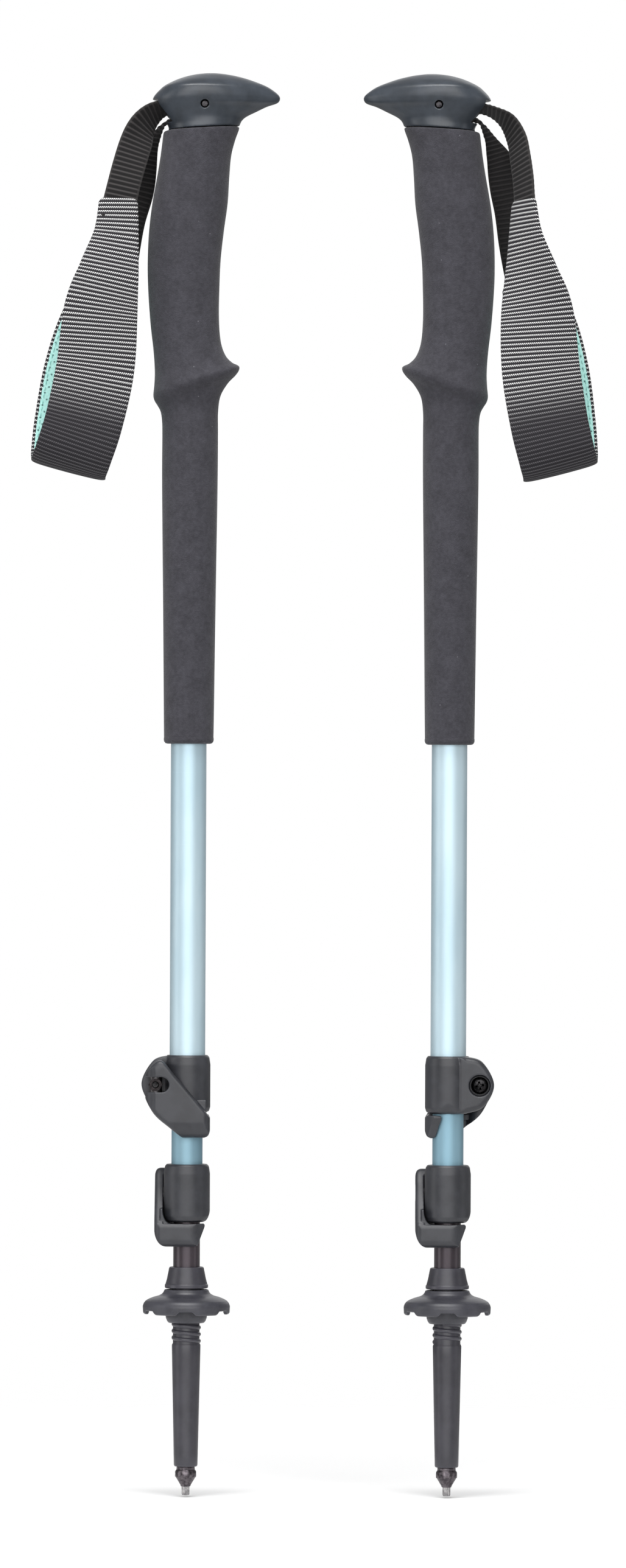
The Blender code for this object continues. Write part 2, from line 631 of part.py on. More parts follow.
def basket(name):
    """The small trekking basket: hub, domed disc, hooked rim and a notched skirt beneath."""
    bore = BASKET_BORE
    disc = turned(name, [(bore, 77.6), (9.2, 77.6), (9.75, 79.2), (9.9, 82.6), (12.6, 83.4),
                         (12.6, 80.9), (13.9, 80.9), (14.6, 84.3), (18.5, 84.9), (18.5, 81.8),
                         (19.6, 81.8), (BASKET_RADIUS, 85.9), (17.6, 88.3), (14.4, 89.6),
                         (11.4, 90.1), (10.2, 92.7), (bore, 92.7)])
    step = math.tau / BASKET_TEETH
    for i in range(BASKET_TEETH):
        turn = Matrix.Rotation(i * step, 4, "Z")
        # Wide notch in the rim, leaving a narrow hook between notches
        rim = block("rim_notch", (16.4, -7.6, 79.0), (25.0, 7.6, 84.2))
        rim.data.transform(turn)
        # Notch in the inner skirt
        skirt = block("skirt_notch", (11.2, -3.0, 79.0), (16.2, 3.0, 82.9))
        skirt.data.transform(turn)
        # Drain window through the disc, between the hub and the skirt's outside
        window = block("window", (14.9, -2.6, 83.0), (17.2, 2.6, 92.0))
        window.data.transform(Matrix.Rotation((i + 0.5) * step, 4, "Z"))
        cut(disc, rim, skirt, window)
    return disc


def tip_ferrule(name):
    """The metal ferrule that carries the point, with its shank up inside the tip."""
    return turned(name, [(1.85, CARBIDE_TOP - 0.2), (2.35, CARBIDE_TOP), (2.7, CARBIDE_TOP + 1.4),
                         (4.9, 9.0), (5.0, 9.6), (5.0, 11.8), (4.3, 12.1), (4.3, 12.6), (2.6, 12.6),
                         (2.6, 40.0), (1.85, 40.0)], SMALL_SIDES)


def carbide_tip(name):
    """The carbide point: flat-ended, with its shank in the ferrule."""
    return turned(name, [(0, 0.0), (CARBIDE_RADIUS - 0.4, 0.0), (CARBIDE_RADIUS, 0.5),
                         (CARBIDE_RADIUS, CARBIDE_TOP - 0.55), (1.5, CARBIDE_TOP - 0.5), (1.5, 18.0),
                         (0, 18.0)], SMALL_SIDES, closed=False)


# ---------------------------------------------------------------- assembly

def rotated_point(x, y, z, degrees):
    """A point turned about the pole's axis."""
    return Matrix.Rotation(math.radians(degrees), 4, "Z") @ Vector((x, y, z))


def build_lock(side, level, holder, z, tube_radius, inner_radius, yaw):
    """One complete lever lock of five pieces."""
    prefix = f"{side}_{level}_lock"
    pivot = rotated_point(PIVOT_X, PIVOT_Y, z + PIVOT_Z, yaw)
    screw_axis = rotated_point(PIVOT_X, 0.0, z + PIVOT_Z, yaw)
    centre = (0, 0, z)
    put(lock_collar(f"{prefix}_collar", z, tube_radius, inner_radius, yaw), "lock_plastic", holder,
        centre)
    put(lock_lever(f"{prefix}_lever", z, inner_radius, yaw), "lock_plastic", holder, pivot)
    put(lock_barrel(f"{prefix}_barrel", z, yaw), "bright_steel", holder, pivot)
    put(lock_screw(f"{prefix}_screw", z, yaw), "black_steel", holder, screw_axis)
    put(lock_nut(f"{prefix}_nut", z, yaw), "black_steel", holder, screw_axis)


def build_pole(pole):
    side = pole["name"]
    holder = bpy.data.objects.new(f"{side}_pole", None)
    bpy.context.scene.collection.objects.link(holder)
    holder.location = (pole["x"] * MM, PAIR_Y * MM, 0.0)
    holder.rotation_euler = (0.0, 0.0, math.radians(pole["turn"]))
    lower_yaw = pole["lower_yaw"]

    put(shaft(f"{side}_upper_shaft", UPPER_SHAFT_RADIUS, UPPER_SHAFT_SPAN, 0.0), "upper_alloy",
        holder, (0, 0, UPPER_SHAFT_SPAN[0]))
    put(shaft(f"{side}_middle_shaft", MIDDLE_SHAFT_RADIUS, MIDDLE_SHAFT_SPAN, lower_yaw),
        "middle_alloy", holder, (0, 0, MIDDLE_SHAFT_SPAN[0]))
    put(shaft(f"{side}_lower_shaft", LOWER_SHAFT_RADIUS, LOWER_SHAFT_SPAN), "lower_alloy",
        holder, (0, 0, LOWER_SHAFT_SPAN[0]))
    for level, radius, top in (("middle", MIDDLE_SHAFT_RADIUS, MIDDLE_SHAFT_SPAN[1]),
                               ("lower", LOWER_SHAFT_RADIUS, LOWER_SHAFT_SPAN[1])):
        put(shaft_bush(f"{side}_{level}_bush", radius, top), "bush_plastic", holder, (0, 0, top))

    build_lock(side, "upper", holder, UPPER_COLLAR_Z, UPPER_SHAFT_RADIUS, MIDDLE_SHAFT_RADIUS, 0.0)
    build_lock(side, "lower", holder, LOWER_COLLAR_Z, MIDDLE_SHAFT_RADIUS, LOWER_SHAFT_RADIUS,
               lower_yaw)

    put(foam_grip(f"{side}_foam_grip"), "grip_foam", holder, (0, 0, GRIP_BOTTOM), smooth=50.0)
    put(head_cap(f"{side}_head_cap"), "head_plastic", holder, (0, 0, HEAD_BOTTOM), smooth=40.0)
    put(rod(f"{side}_strap_pin", PIN_RADIUS, -PIN_HALF_LENGTH, PIN_HALF_LENGTH, SMALL_SIDES,
            pin_matrix()),
        "bright_steel", holder, (PIN_X, 0, PIN_Z))
    put(strap_wedge(f"{side}_strap_wedge"), "bush_plastic", holder, (PIN_X, 0, PIN_Z))
    put(strap_tail(f"{side}_strap_tail"), "webbing", holder, (PIN_X, 0, PIN_Z))
    strap_pivot = (STRAP_PIVOT_X, 0, STRAP_PIVOT_Z)
    put(strap_webbing(f"{side}_strap_webbing", pole), "webbing", holder, strap_pivot)
    put(strap_band(f"{side}_strap_band", pole), "band_weave", holder, strap_pivot)

    put(flex_tip(f"{side}_flex_tip"), "tip_plastic", holder, (0, 0, CONE_BOTTOM))
    put(basket(f"{side}_basket"), "tip_plastic", holder, (0, 0, 85.0))
    put(tip_ferrule(f"{side}_tip_ferrule"), "bright_steel", holder, (0, 0, TIP_BOTTOM))
    put(carbide_tip(f"{side}_carbide_tip"), "carbide", holder, (0, 0, 0))


def main():
    clear_scene()
    for pole in POLES:
        build_pole(pole)
    bpy.context.view_layer.update()


main()
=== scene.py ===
"""Looks of a pair of collapsed trekking poles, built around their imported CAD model."""

import json
import logging
import math
from collections.abc import Callable, Iterable, Sequence
from dataclasses import dataclass, field
from enum import Enum
from functools import cached_property

import bmesh
import bpy
import numpy as np
from mathutils import Matrix, Vector

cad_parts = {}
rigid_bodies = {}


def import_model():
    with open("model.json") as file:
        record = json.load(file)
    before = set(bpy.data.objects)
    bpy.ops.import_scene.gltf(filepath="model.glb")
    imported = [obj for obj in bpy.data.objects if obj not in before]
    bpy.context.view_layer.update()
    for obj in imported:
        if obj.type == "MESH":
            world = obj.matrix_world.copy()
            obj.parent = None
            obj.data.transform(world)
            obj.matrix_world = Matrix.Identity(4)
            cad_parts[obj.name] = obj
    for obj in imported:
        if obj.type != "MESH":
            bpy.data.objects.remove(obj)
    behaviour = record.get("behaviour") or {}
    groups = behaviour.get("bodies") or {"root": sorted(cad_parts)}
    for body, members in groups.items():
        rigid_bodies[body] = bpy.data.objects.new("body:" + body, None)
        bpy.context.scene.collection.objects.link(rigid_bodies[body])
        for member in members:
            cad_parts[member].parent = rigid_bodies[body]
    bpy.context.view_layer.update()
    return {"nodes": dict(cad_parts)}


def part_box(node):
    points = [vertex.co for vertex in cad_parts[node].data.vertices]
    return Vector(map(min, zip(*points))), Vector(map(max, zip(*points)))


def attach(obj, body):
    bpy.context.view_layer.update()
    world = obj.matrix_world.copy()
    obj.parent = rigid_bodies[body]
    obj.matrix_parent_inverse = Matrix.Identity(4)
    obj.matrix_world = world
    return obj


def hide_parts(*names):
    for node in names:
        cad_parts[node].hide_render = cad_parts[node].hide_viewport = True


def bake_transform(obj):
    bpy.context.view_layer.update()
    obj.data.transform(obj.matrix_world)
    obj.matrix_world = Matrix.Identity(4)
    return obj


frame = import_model()

LOG = logging.getLogger("poles")
MM = 0.001
ROUND = 96
RIM_GAIN = 2.2
Point = tuple[float, ...]
Points = list[Point]
Rows = tuple[Point, ...]
Softening = tuple[float, int, float]
Colour = tuple[float, float, float]


# ---------------------------------------------------------------- poles and bodies

@dataclass(frozen=True)
class Pole:
    """Where one pole stands and how its strap and locks face.

    Lengths in a pole's own frame are millimetres from its axis and its tip, with the beak
    towards +X and the strap towards -X.
    """

    side: str
    turn: float
    strap_front: float
    strap_sway: float
    lower_yaw: float

    @cached_property
    def place(self) -> Matrix:
        """Work out the matrix from the pole's own millimetres to the shared frame.

        Returns:
            The matrix, from the places of two CAD nodes.
        """
        low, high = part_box(f"{self.side}_upper_shaft")
        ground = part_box(f"{self.side}_carbide_tip")[0].z
        axis = Vector(((low.x + high.x) / 2, (low.y + high.y) / 2, ground))
        turn = Matrix.Rotation(math.radians(self.turn), 4, "Z")
        return Matrix.Translation(axis) @ turn @ Matrix.Scale(MM, 4)

    def node(self, name: str) -> str:
        """Full name of one of this pole's nodes or bodies."""
        return f"{self.side}_{name}"


POLES = (Pole("left", 0.0, -1.0, 1.0, -90.0), Pole("right", 180.0, 1.0, 0.76, 90.0))


def hang(name: str, mesh: bpy.types.Mesh, pole: Pole, body: str, finish: "Finish",
         nodes: Sequence[str] = (), sharp: float = 40.0) -> bpy.types.Object:
    """Place a finished mesh on a pole and make it ride a body, if one is given.

    Args:
        name: Name of the piece without its side.
        mesh: Mesh in the pole's own millimetres. A copy of it is used.
        pole: The pole that it belongs to.
        body: Body it moves with, without its side, or empty for none.
        finish: What it is made of.
        nodes: CAD nodes that it stands for, without their side.
        sharp: Angle between faces, in degrees, past which an edge stays crisp.

    Returns:
        The new object, at the origin, with its place in its mesh.
    """
    item = bpy.data.objects.new(pole.node(name) + "_looks", mesh.copy())
    bpy.context.scene.collection.objects.link(item)
    item.data.transform(pole.place)
    item.data.shade_smooth()
    item.data.set_sharp_from_angle(angle=math.radians(sharp))
    item.data.materials.clear()
    item.data.materials.append(finish.material)
    if body:
        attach(item, pole.node(body))
    if nodes:
        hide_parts(*[pole.node(node) for node in nodes])
    LOG.info("%s: %d faces, rides %s", item.name, len(item.data.polygons), body or "two bodies")
    return item


# ---------------------------------------------------------------- mesh making

def loose(name: str, mesh: bpy.types.Mesh) -> bpy.types.Object:
    """Make a working object for a mesh that isn't on a pole yet.

    Args:
        name: Name of the object.
        mesh: Its mesh.

    Returns:
        The object, linked to the scene.
    """
    item = bpy.data.objects.new(name, mesh)
    bpy.context.scene.collection.objects.link(item)
    return item


def baked(item: bpy.types.Object) -> bpy.types.Mesh:
    """Apply a working object's modifiers, remove it and return the plain mesh.

    Args:
        item: Working object with live modifiers.

    Returns:
        Its evaluated mesh.
    """
    bpy.context.view_layer.update()
    graph = bpy.context.evaluated_depsgraph_get()
    mesh = bpy.data.meshes.new_from_object(item.evaluated_get(graph))
    bpy.data.objects.remove(item, do_unlink=True)
    return mesh


def sealed(name: str, bm: bmesh.types.BMesh) -> bpy.types.Mesh:
    """Merge doubles, turn faces outwards and close a bmesh into a mesh.

    Args:
        name: Name of the mesh.
        bm: The bmesh, which is freed.

    Returns:
        The new mesh.
    """
    bmesh.ops.remove_doubles(bm, verts=bm.verts, dist=0.0005)
    bmesh.ops.dissolve_degenerate(bm, edges=bm.edges, dist=0.0005)
    bmesh.ops.recalc_face_normals(bm, faces=bm.faces)
    mesh = bpy.data.meshes.new(name)
    bm.to_mesh(mesh)
    bm.free()
    return mesh


def boolean(target: bpy.types.Mesh, tools: Iterable[bpy.types.Mesh],
            operation: str) -> bpy.types.Mesh:
    """Cut, join or intersect meshes one after another.

    Args:
        target: The mesh worked on.
        tools: The meshes used on it, in order.
        operation: DIFFERENCE, UNION or INTERSECT.

    Returns:
        The resulting mesh.
    """
    for tool in tools:
        item, other = loose("target", target), loose("tool", tool)
        step = item.modifiers.new("step", "BOOLEAN")
        step.operation, step.solver, step.object = operation, "EXACT", other
        target = baked(item)
        bpy.data.objects.remove(other, do_unlink=True)
    return target


def moulded(mesh: bpy.types.Mesh, voxel: float, rounds: int, keep: float) -> bpy.types.Mesh:
    """Give a crisp solid the soft edges of a moulding.

    Args:
        mesh: A closed solid in millimetres.
        voxel: Size of the remesh in millimetres.
        rounds: Smoothing steps, which set how round its edges get.
        keep: Share of the faces that is kept.

    Returns:
        The softened mesh.
    """
    item = loose("moulding", mesh)
    remesh = item.modifiers.new("remesh", "REMESH")
    remesh.mode, remesh.voxel_size, remesh.adaptivity = "VOXEL", voxel, 0.0
    smooth = item.modifiers.new("smooth", "SMOOTH")
    smooth.factor, smooth.iterations = 0.5, rounds
    thin = item.modifiers.new("thin", "DECIMATE")
    thin.ratio = keep
    return baked(item)


def moved(mesh: bpy.types.Mesh, matrix: Matrix) -> bpy.types.Mesh:
    """Copy a mesh and place the copy.

    Args:
        mesh: The mesh, which stays as it is.
        matrix: Where the copy goes.

    Returns:
        The copy.
    """
    copy = mesh.copy()
    copy.transform(matrix)
    return copy


def about_axis(degrees: float) -> Matrix:
    """A turn about the pole's own axis."""
    return Matrix.Rotation(math.radians(degrees), 4, "Z")


def skinned(name: str, rings: Sequence[Sequence[Point]], tube: bool = False,
            uvs: Sequence[Sequence[Point]] | None = None) -> bpy.types.Mesh:
    """Skin rings of equal count into a closed mesh.

    Args:
        name: Name of the mesh.
        rings: Closed rings of points, in order.
        tube: Whether the last ring joins the first. Otherwise both ends are capped.
        uvs: For a strap, the (across, along) of every ring point and one more per ring that
            closes it, in millimetres.

    Returns:
        The new mesh.
    """
    bm = bmesh.new()
    layer = bm.loops.layers.uv.new("strap") if uvs else None
    loops = [[bm.verts.new(point) for point in ring] for ring in rings]
    count = len(loops[0])
    pairs = [(k, k + 1) for k in range(len(loops) - 1)]
    if tube:
        pairs.append((len(loops) - 1, 0))
    for low, high in pairs:
        for i in range(count):
            j = (i + 1) % count
            face = bm.faces.new((loops[low][i], loops[low][j], loops[high][j], loops[high][i]))
            if layer:
                corners = ((low, i), (low, i + 1), (high, i + 1), (high, i))
                for loop, (ring, place) in zip(face.loops, corners):
                    loop[layer].uv = uvs[ring][place]
    if not tube:
        bm.faces.new(loops[0])
        bm.faces.new(loops[-1])
    return sealed(name, bm)


def turned(name: str, outline: Sequence[Point], sides: int = ROUND,
           closed: bool = True) -> bpy.types.Mesh:
    """Spin a (radius, height) outline about Z.

    Args:
        name: Name of the mesh.
        outline: The outline's points. An open outline starts and ends on the axis.
        sides: Faces around.
        closed: Whether the last point joins the first.

    Returns:
        The new mesh.
    """
    bm = bmesh.new()
    points = [bm.verts.new((radius, 0.0, height)) for radius, height in outline]
    edges = [bm.edges.new(pair) for pair in zip(points, points[1:])]
    if closed:
        edges.append(bm.edges.new((points[-1], points[0])))
    bmesh.ops.spin(bm, geom=points + edges, cent=(0, 0, 0), axis=(0, 0, 1), angle=math.tau,
                   steps=sides, use_merge=True)
    return sealed(name, bm)


def rounded(outline: Sequence[Point], radius: float, steps: int = 4, closed: bool = True) -> Points:
    """Round the corners of a flat outline.

    Args:
        outline: Points of the outline.
        radius: Distance cut back from each corner, less where a side is short.
        steps: Points per corner.
        closed: Whether the ends join. If not, the two end points stay.

    Returns:
        The rounded outline.
    """
    count = len(outline)
    result: Points = []
    for i, corner in enumerate(outline):
        if not closed and i in (0, count - 1):
            result.append(tuple(corner))
            continue
        here = Vector(corner)
        before, after = Vector(outline[i - 1]), Vector(outline[(i + 1) % count])
        back, on = before - here, after - here
        size = min(radius, 0.45 * back.length, 0.45 * on.length)
        start, end = here + back.normalized() * size, here + on.normalized() * size
        for step in range(steps + 1):
            t = step / steps
            result.append(tuple(start * (1 - t) ** 2 + here * (2 * t * (1 - t)) + end * t ** 2))
    return result


def rod(radius: float, low: float, high: float, sides: int = 48,
        matrix: Matrix | None = None) -> bpy.types.Mesh:
    """Make a plain cylinder between two heights.

    Args:
        radius: Its radius.
        low: Lower end.
        high: Upper end.
        sides: Faces around.
        matrix: Where it goes, if not upright at the origin.

    Returns:
        The new mesh.
    """
    mesh = turned("rod", [(0, low), (radius, low), (radius, high), (0, high)], sides, closed=False)
    if matrix:
        mesh.transform(matrix)
    return mesh


def block(low: Point, high: Point, matrix: Matrix | None = None) -> bpy.types.Mesh:
    """Make a box between two opposite corners.

    Args:
        low: Lowest corner.
        high: Highest corner.
        matrix: How it is turned, if at all.

    Returns:
        The new mesh.
    """
    size = [b - a for a, b in zip(low, high)]
    middle = [(a + b) / 2 for a, b in zip(low, high)]
    bm = bmesh.new()
    place = Matrix.Translation(middle) @ Matrix.Diagonal((*size, 1.0))
    bmesh.ops.create_cube(bm, size=1.0, matrix=place)
    mesh = sealed("block", bm)
    if matrix:
        mesh.transform(matrix)
    return mesh


def smooth_path(points: Sequence[Point], steps: int) -> Points:
    """Run a Catmull-Rom curve through rows of numbers of any length.

    Args:
        points: Rows that the path passes through.
        steps: Points made for each span.

    Returns:
        The rows of the finer path, ends included.
    """
    count = len(points)
    result: Points = []
    for i in range(count - 1):
        rows = [points[min(max(i + k, 0), count - 1)] for k in (-1, 0, 1, 2)]
        for step in range(steps):
            t = step / steps
            result.append(tuple(
                0.5 * (2 * b + (c - a) * t + (2 * a - 5 * b + 4 * c - d) * t * t
                       + (3 * b - a - 3 * c + d) * t ** 3)
                for a, b, c, d in zip(*rows)))
    result.append(tuple(points[-1]))
    return result


def arc(centre: Point, radius: float, start: float, end: float, steps: int) -> Points:
    """Points on a circle.

    Args:
        centre: Its centre.
        radius: Its radius.
        start: First angle in degrees.
        end: Last angle in degrees.
        steps: Steps between them.

    Returns:
        The points.
    """
    angles = [math.radians(start + (end - start) * step / steps) for step in range(steps + 1)]
    return [(centre[0] + radius * math.cos(a), centre[1] + radius * math.sin(a)) for a in angles]


def angles_to(last: float, step: float) -> list[float]:
    """Angles in radians from 0 to a last one, both given in degrees."""
    return [math.radians(step * k) for k in range(round(last / step) + 1)]


def inset(outline: Sequence[Point], amount: float) -> Points:
    """Move a counter-clockwise outline inwards along its corner normals.

    Args:
        outline: The outline's points.
        amount: How far it moves.

    Returns:
        The smaller outline.
    """
    result: Points = []
    for i, (x, y) in enumerate(outline):
        run = (Vector(outline[(i + 1) % len(outline)]) - Vector(outline[i - 1])).normalized()
        result.append((x - run.y * amount, y + run.x * amount))
    return result


class Plane(Enum):
    """The plane that a slab's outline is drawn in."""

    FRONT = "x and z, thick along y"
    TOP = "x and y, thick along z"


def slab(outline: Sequence[Point], low: float, high: float, rims: tuple[float, float],
         plane: Plane) -> bpy.types.Mesh:
    """Extrude a counter-clockwise outline with rounded rims.

    Args:
        outline: The outline's points.
        low: Start of the thickness.
        high: End of the thickness.
        rims: Rounding at the low and the high face.
        plane: Where the outline is drawn.

    Returns:
        The new mesh.
    """
    levels: Points = []
    for base, sign, rim in ((low, 1.0, rims[0]), (high, -1.0, rims[1])):
        part = [(base + sign * rim * (1 - math.sin(a)), rim * (1 - math.cos(a)))
                for a in angles_to(90, 15)[::-1]] if rim else [(base, 0.0)]
        levels += part if sign > 0 else part[::-1]
    rings = []
    for w, amount in levels:
        flat = inset(outline, amount)
        rings.append([(u, w, v) if plane is Plane.FRONT else (u, v, w) for u, v in flat])
    return skinned("slab", rings)


# ---------------------------------------------------------------- shader maths

def tint(red: float, green: float, blue: float) -> Colour:
    """Linear colour of a screen colour given from 0 to 255."""
    parts = [c / 255 for c in (red, green, blue)]
    return tuple(c / 12.92 if c <= 0.04045 else ((c + 0.055) / 1.055) ** 2.4 for c in parts)


def paler(colour: Colour, gain: float, lift: float) -> Colour:
    """A lighter colour, for worn places and painted edge highlights."""
    return tuple(min(1.0, part * gain + lift) for part in colour)


class Wire:
    """One shader socket. Arithmetic on it adds Math nodes."""

    def __init__(self, kit: "Kit", socket: bpy.types.NodeSocket) -> None:
        self.kit = kit
        self.socket = socket

    def __add__(self, other: "Wire | float") -> "Wire":
        """Sum."""
        return self.kit.maths("ADD", self, other)

    def __sub__(self, other: "Wire | float") -> "Wire":
        """Difference."""
        return self.kit.maths("SUBTRACT", self, other)

    def __rsub__(self, other: float) -> "Wire":
        """Difference, with the number first."""
        return self.kit.maths("SUBTRACT", other, self)

    def __mul__(self, other: "Wire | float") -> "Wire":
        """Product."""
        return self.kit.maths("MULTIPLY", self, other)

    def __truediv__(self, other: "Wire | float") -> "Wire":
        """Quotient."""
        return self.kit.maths("DIVIDE", self, other)

    def __abs__(self) -> "Wire":
        """Absolute value."""
        return self.kit.maths("ABSOLUTE", self)

    __radd__ = __add__
    __rmul__ = __mul__

    def fraction(self) -> "Wire":
        """Part after the decimal point."""
        return self.kit.maths("FRACT", self)

    def floor(self) -> "Wire":
        """Whole number below."""
        return self.kit.maths("FLOOR", self)

    def sine(self) -> "Wire":
        """Sine of an angle in radians."""
        return self.kit.maths("SINE", self)

    def between(self, low: float, high: float, start: float = 0.0, end: float = 1.0) -> "Wire":
        """Ease from start to end as the value goes from low to high.

        Args:
            low: Value at which the change starts.
            high: Value at which it ends.
            start: Result below low.
            end: Result above high.

        Returns:
            The eased value.
        """
        ease = self.kit.node("ShaderNodeMapRange", {"interpolation_type": "SMOOTHSTEP"},
                             {"Value": self, "From Min": low, "From Max": high, "To Min": start,
                              "To Max": end})
        return Wire(self.kit, ease.outputs["Result"])


class Nodes:
    """A node tree that gets every node from one method."""

    def __init__(self, tree: bpy.types.NodeTree) -> None:
        """Wrap a tree."""
        self.tree = tree

    def node(self, kind: str, settings: dict | None = None,
             inputs: dict | None = None) -> bpy.types.Node:
        """Add a node.

        Args:
            kind: Type of node.
            settings: Its properties, set first.
            inputs: Value, Wire or output for its sockets, by name or number.

        Returns:
            The new node.
        """
        made = self.tree.nodes.new(kind)
        for key, value in (settings or {}).items():
            setattr(made, key, value)
        for key, value in (inputs or {}).items():
            self.feed(made.inputs[key], value)
        return made

    def feed(self, socket: bpy.types.NodeSocket, value: object) -> None:
        """Link a wire or an output to a socket, or set the socket's own value.

        Args:
            socket: An input socket.
            value: What it gets.
        """
        if isinstance(value, Wire):
            value = value.socket
        if isinstance(value, bpy.types.NodeSocket):
            self.tree.links.new(value, socket)
        elif isinstance(value, tuple) and len(value) == 3 and len(socket.default_value) == 4:
            socket.default_value = (*value, 1.0)
        else:
            socket.default_value = value


class Kit(Nodes):
    """The node tree of one material, with its Principled shader."""

    MIX_SOCKETS = (0, 6, 7, 2)

    def __init__(self, name: str) -> None:
        """Start a material with a bare Principled shader.

        Args:
            name: Name of the material.
        """
        self.material = bpy.data.materials.new(name)
        self.material.use_nodes = True
        super().__init__(self.material.node_tree)
        self.tree.nodes.clear()
        self.shader = self.node("ShaderNodeBsdfPrincipled")
        self.node("ShaderNodeOutputMaterial", None, {"Surface": self.shader.outputs[0]})

    def maths(self, operation: str, *values: "Wire | float") -> Wire:
        """A Math node on one or two values."""
        made = self.node("ShaderNodeMath", {"operation": operation}, dict(enumerate(values)))
        return Wire(self, made.outputs[0])

    def place(self) -> Wire:
        """Object coordinates."""
        return Wire(self, self.node("ShaderNodeTexCoord").outputs["Object"])

    def strap(self) -> tuple[Wire, Wire]:
        """Millimetres across and along a strap, from its UV map."""
        made = self.node("ShaderNodeUVMap", {"uv_map": "strap"})
        return self.parts(Wire(self, made.outputs["UV"]))[:2]

    def mark(self, name: str) -> Wire:
        """A number stored on the mesh's points."""
        made = self.node("ShaderNodeAttribute", {"attribute_name": name})
        return Wire(self, made.outputs["Fac"])

    def parts(self, vector: Wire) -> tuple[Wire, Wire, Wire]:
        """The three parts of a vector."""
        made = self.node("ShaderNodeSeparateXYZ", None, {0: vector})
        return tuple(Wire(self, made.outputs[k]) for k in range(3))

    def stretched(self, vector: Wire, scale: Point) -> Wire:
        """A vector scaled along its three directions by a Mapping node."""
        made = self.node("ShaderNodeMapping", None, {"Vector": vector, "Scale": scale})
        return Wire(self, made.outputs[0])

    def noise(self, vector: Wire, size: float, detail: float = 3.0, rough: float = 0.55) -> Wire:
        """Noise with features of a size.

        Args:
            vector: Coordinates in metres.
            size: Size of a feature in metres.
            detail: Octaves.
            rough: Strength of the finer octaves.

        Returns:
            Its value, around one half.
        """
        made = self.node("ShaderNodeTexNoise", None,
                         {"Vector": vector, "Scale": 1 / size, "Detail": detail,
                          "Roughness": rough})
        return Wire(self, made.outputs["Fac"])

    def cells(self, vector: Wire, size: float) -> Wire:
        """Measure the distance to the nearest of a field of random cells.

        Args:
            vector: Coordinates in metres.
            size: Size of a cell in metres.

        Returns:
            The distance, in cells.
        """
        made = self.node("ShaderNodeTexVoronoi", {"feature": "F1"},
                         {"Vector": vector, "Scale": 1 / size})
        return Wire(self, made.outputs["Distance"])

    def mix(self, amount: "Wire | float", first: "Wire | Colour",
            second: "Wire | Colour") -> Wire:
        """Blend two colours.

        Args:
            amount: Share of the second, from 0 to 1.
            first: Colour at 0.
            second: Colour at 1.

        Returns:
            The blended colour.
        """
        factor, left, right, result = self.MIX_SOCKETS
        made = self.node("ShaderNodeMix", {"data_type": "RGBA"},
                         {factor: amount, left: first, right: second})
        return Wire(self, made.outputs[result])

    def dress(self, colour: "Wire | Colour", roughness: "Wire | float",
              height: Wire | None = None, depth: float = 0.0, **fixed: float) -> None:
        """Feed the shader.

        Args:
            colour: Base colour.
            roughness: Roughness.
            height: Relief from 0 to 1.
            depth: Depth of the relief in metres.
            fixed: Values of the shader's other sockets, with _ for a space.
        """
        self.feed(self.shader.inputs["Base Color"], colour)
        self.feed(self.shader.inputs["Roughness"], roughness)
        if height is not None:
            bump = self.node("ShaderNodeBump", None,
                             {"Height": height, "Distance": depth, "Strength": 1.0})
            self.feed(self.shader.inputs["Normal"], bump.outputs[0])
        for key, value in fixed.items():
            self.feed(self.shader.inputs[key.replace("_", " ")], value)


# ---------------------------------------------------------------- finishes

@dataclass(frozen=True)
class Finish:
    """What a piece is made of, with the name of a material slot."""

    name: str
    slot: str

    @cached_property
    def material(self) -> bpy.types.Material:
        """Make the material the first time it is asked for.

        Returns:
            The material, with its nodes wired.
        """
        kit = Kit(self.name)
        self.paint(kit)
        return kit.material

    def paint(self, kit: Kit) -> None:
        """Wire the material's nodes."""
        raise NotImplementedError


@dataclass(frozen=True)
class MouldedPlastic(Finish):
    """Hard moulding with a fine eroded grain, cloudy colour, scuffs, and standing rims lightened
    partly as wear and partly as a painted highlight.
    """

    dark: Colour
    light: Colour
    roughness: float = 0.46
    grain: float = 0.00032
    depth: float = 0.000012
    rim_wear_and_highlight: float = 0.35
    coat: float = 0.0
    cloud_size: float = 0.009
    scuff_size: float = 0.0011
    scuff: float = 0.07

    def paint(self, kit: Kit) -> None:
        """Wire the material's nodes.

        Args:
            kit: Tree of the new material.
        """
        place = kit.place()
        cloud = kit.noise(place, self.cloud_size, 4.0, 0.6)
        speck = kit.noise(place, self.grain, 2.0)
        rim = kit.mark("rim").between(0.06, 0.5)
        drawn = kit.stretched(place, (1.0, 1.0, 0.25))
        scuff = kit.noise(drawn, self.scuff_size, 2.0).between(0.62, 0.78)
        colour = kit.mix(cloud.between(0.3, 0.7) * 0.7 + speck * 0.3, self.dark, self.light)
        # Standing rims and scuffs are lightened: the scuffs are wear, the rims partly wear and
        # partly a painted highlight.
        colour = kit.mix(rim * self.rim_wear_and_highlight + scuff * self.scuff, colour, paler(self.light, 1.7, 0.01))
        roughness = cloud * 0.16 + speck * 0.1 + (self.roughness - 0.13) - rim * 0.06
        kit.dress(colour, roughness, speck + cloud * 0.4, self.depth, Coat_Weight=self.coat,
                  Coat_Roughness=0.35, Specular_IOR_Level=0.5)


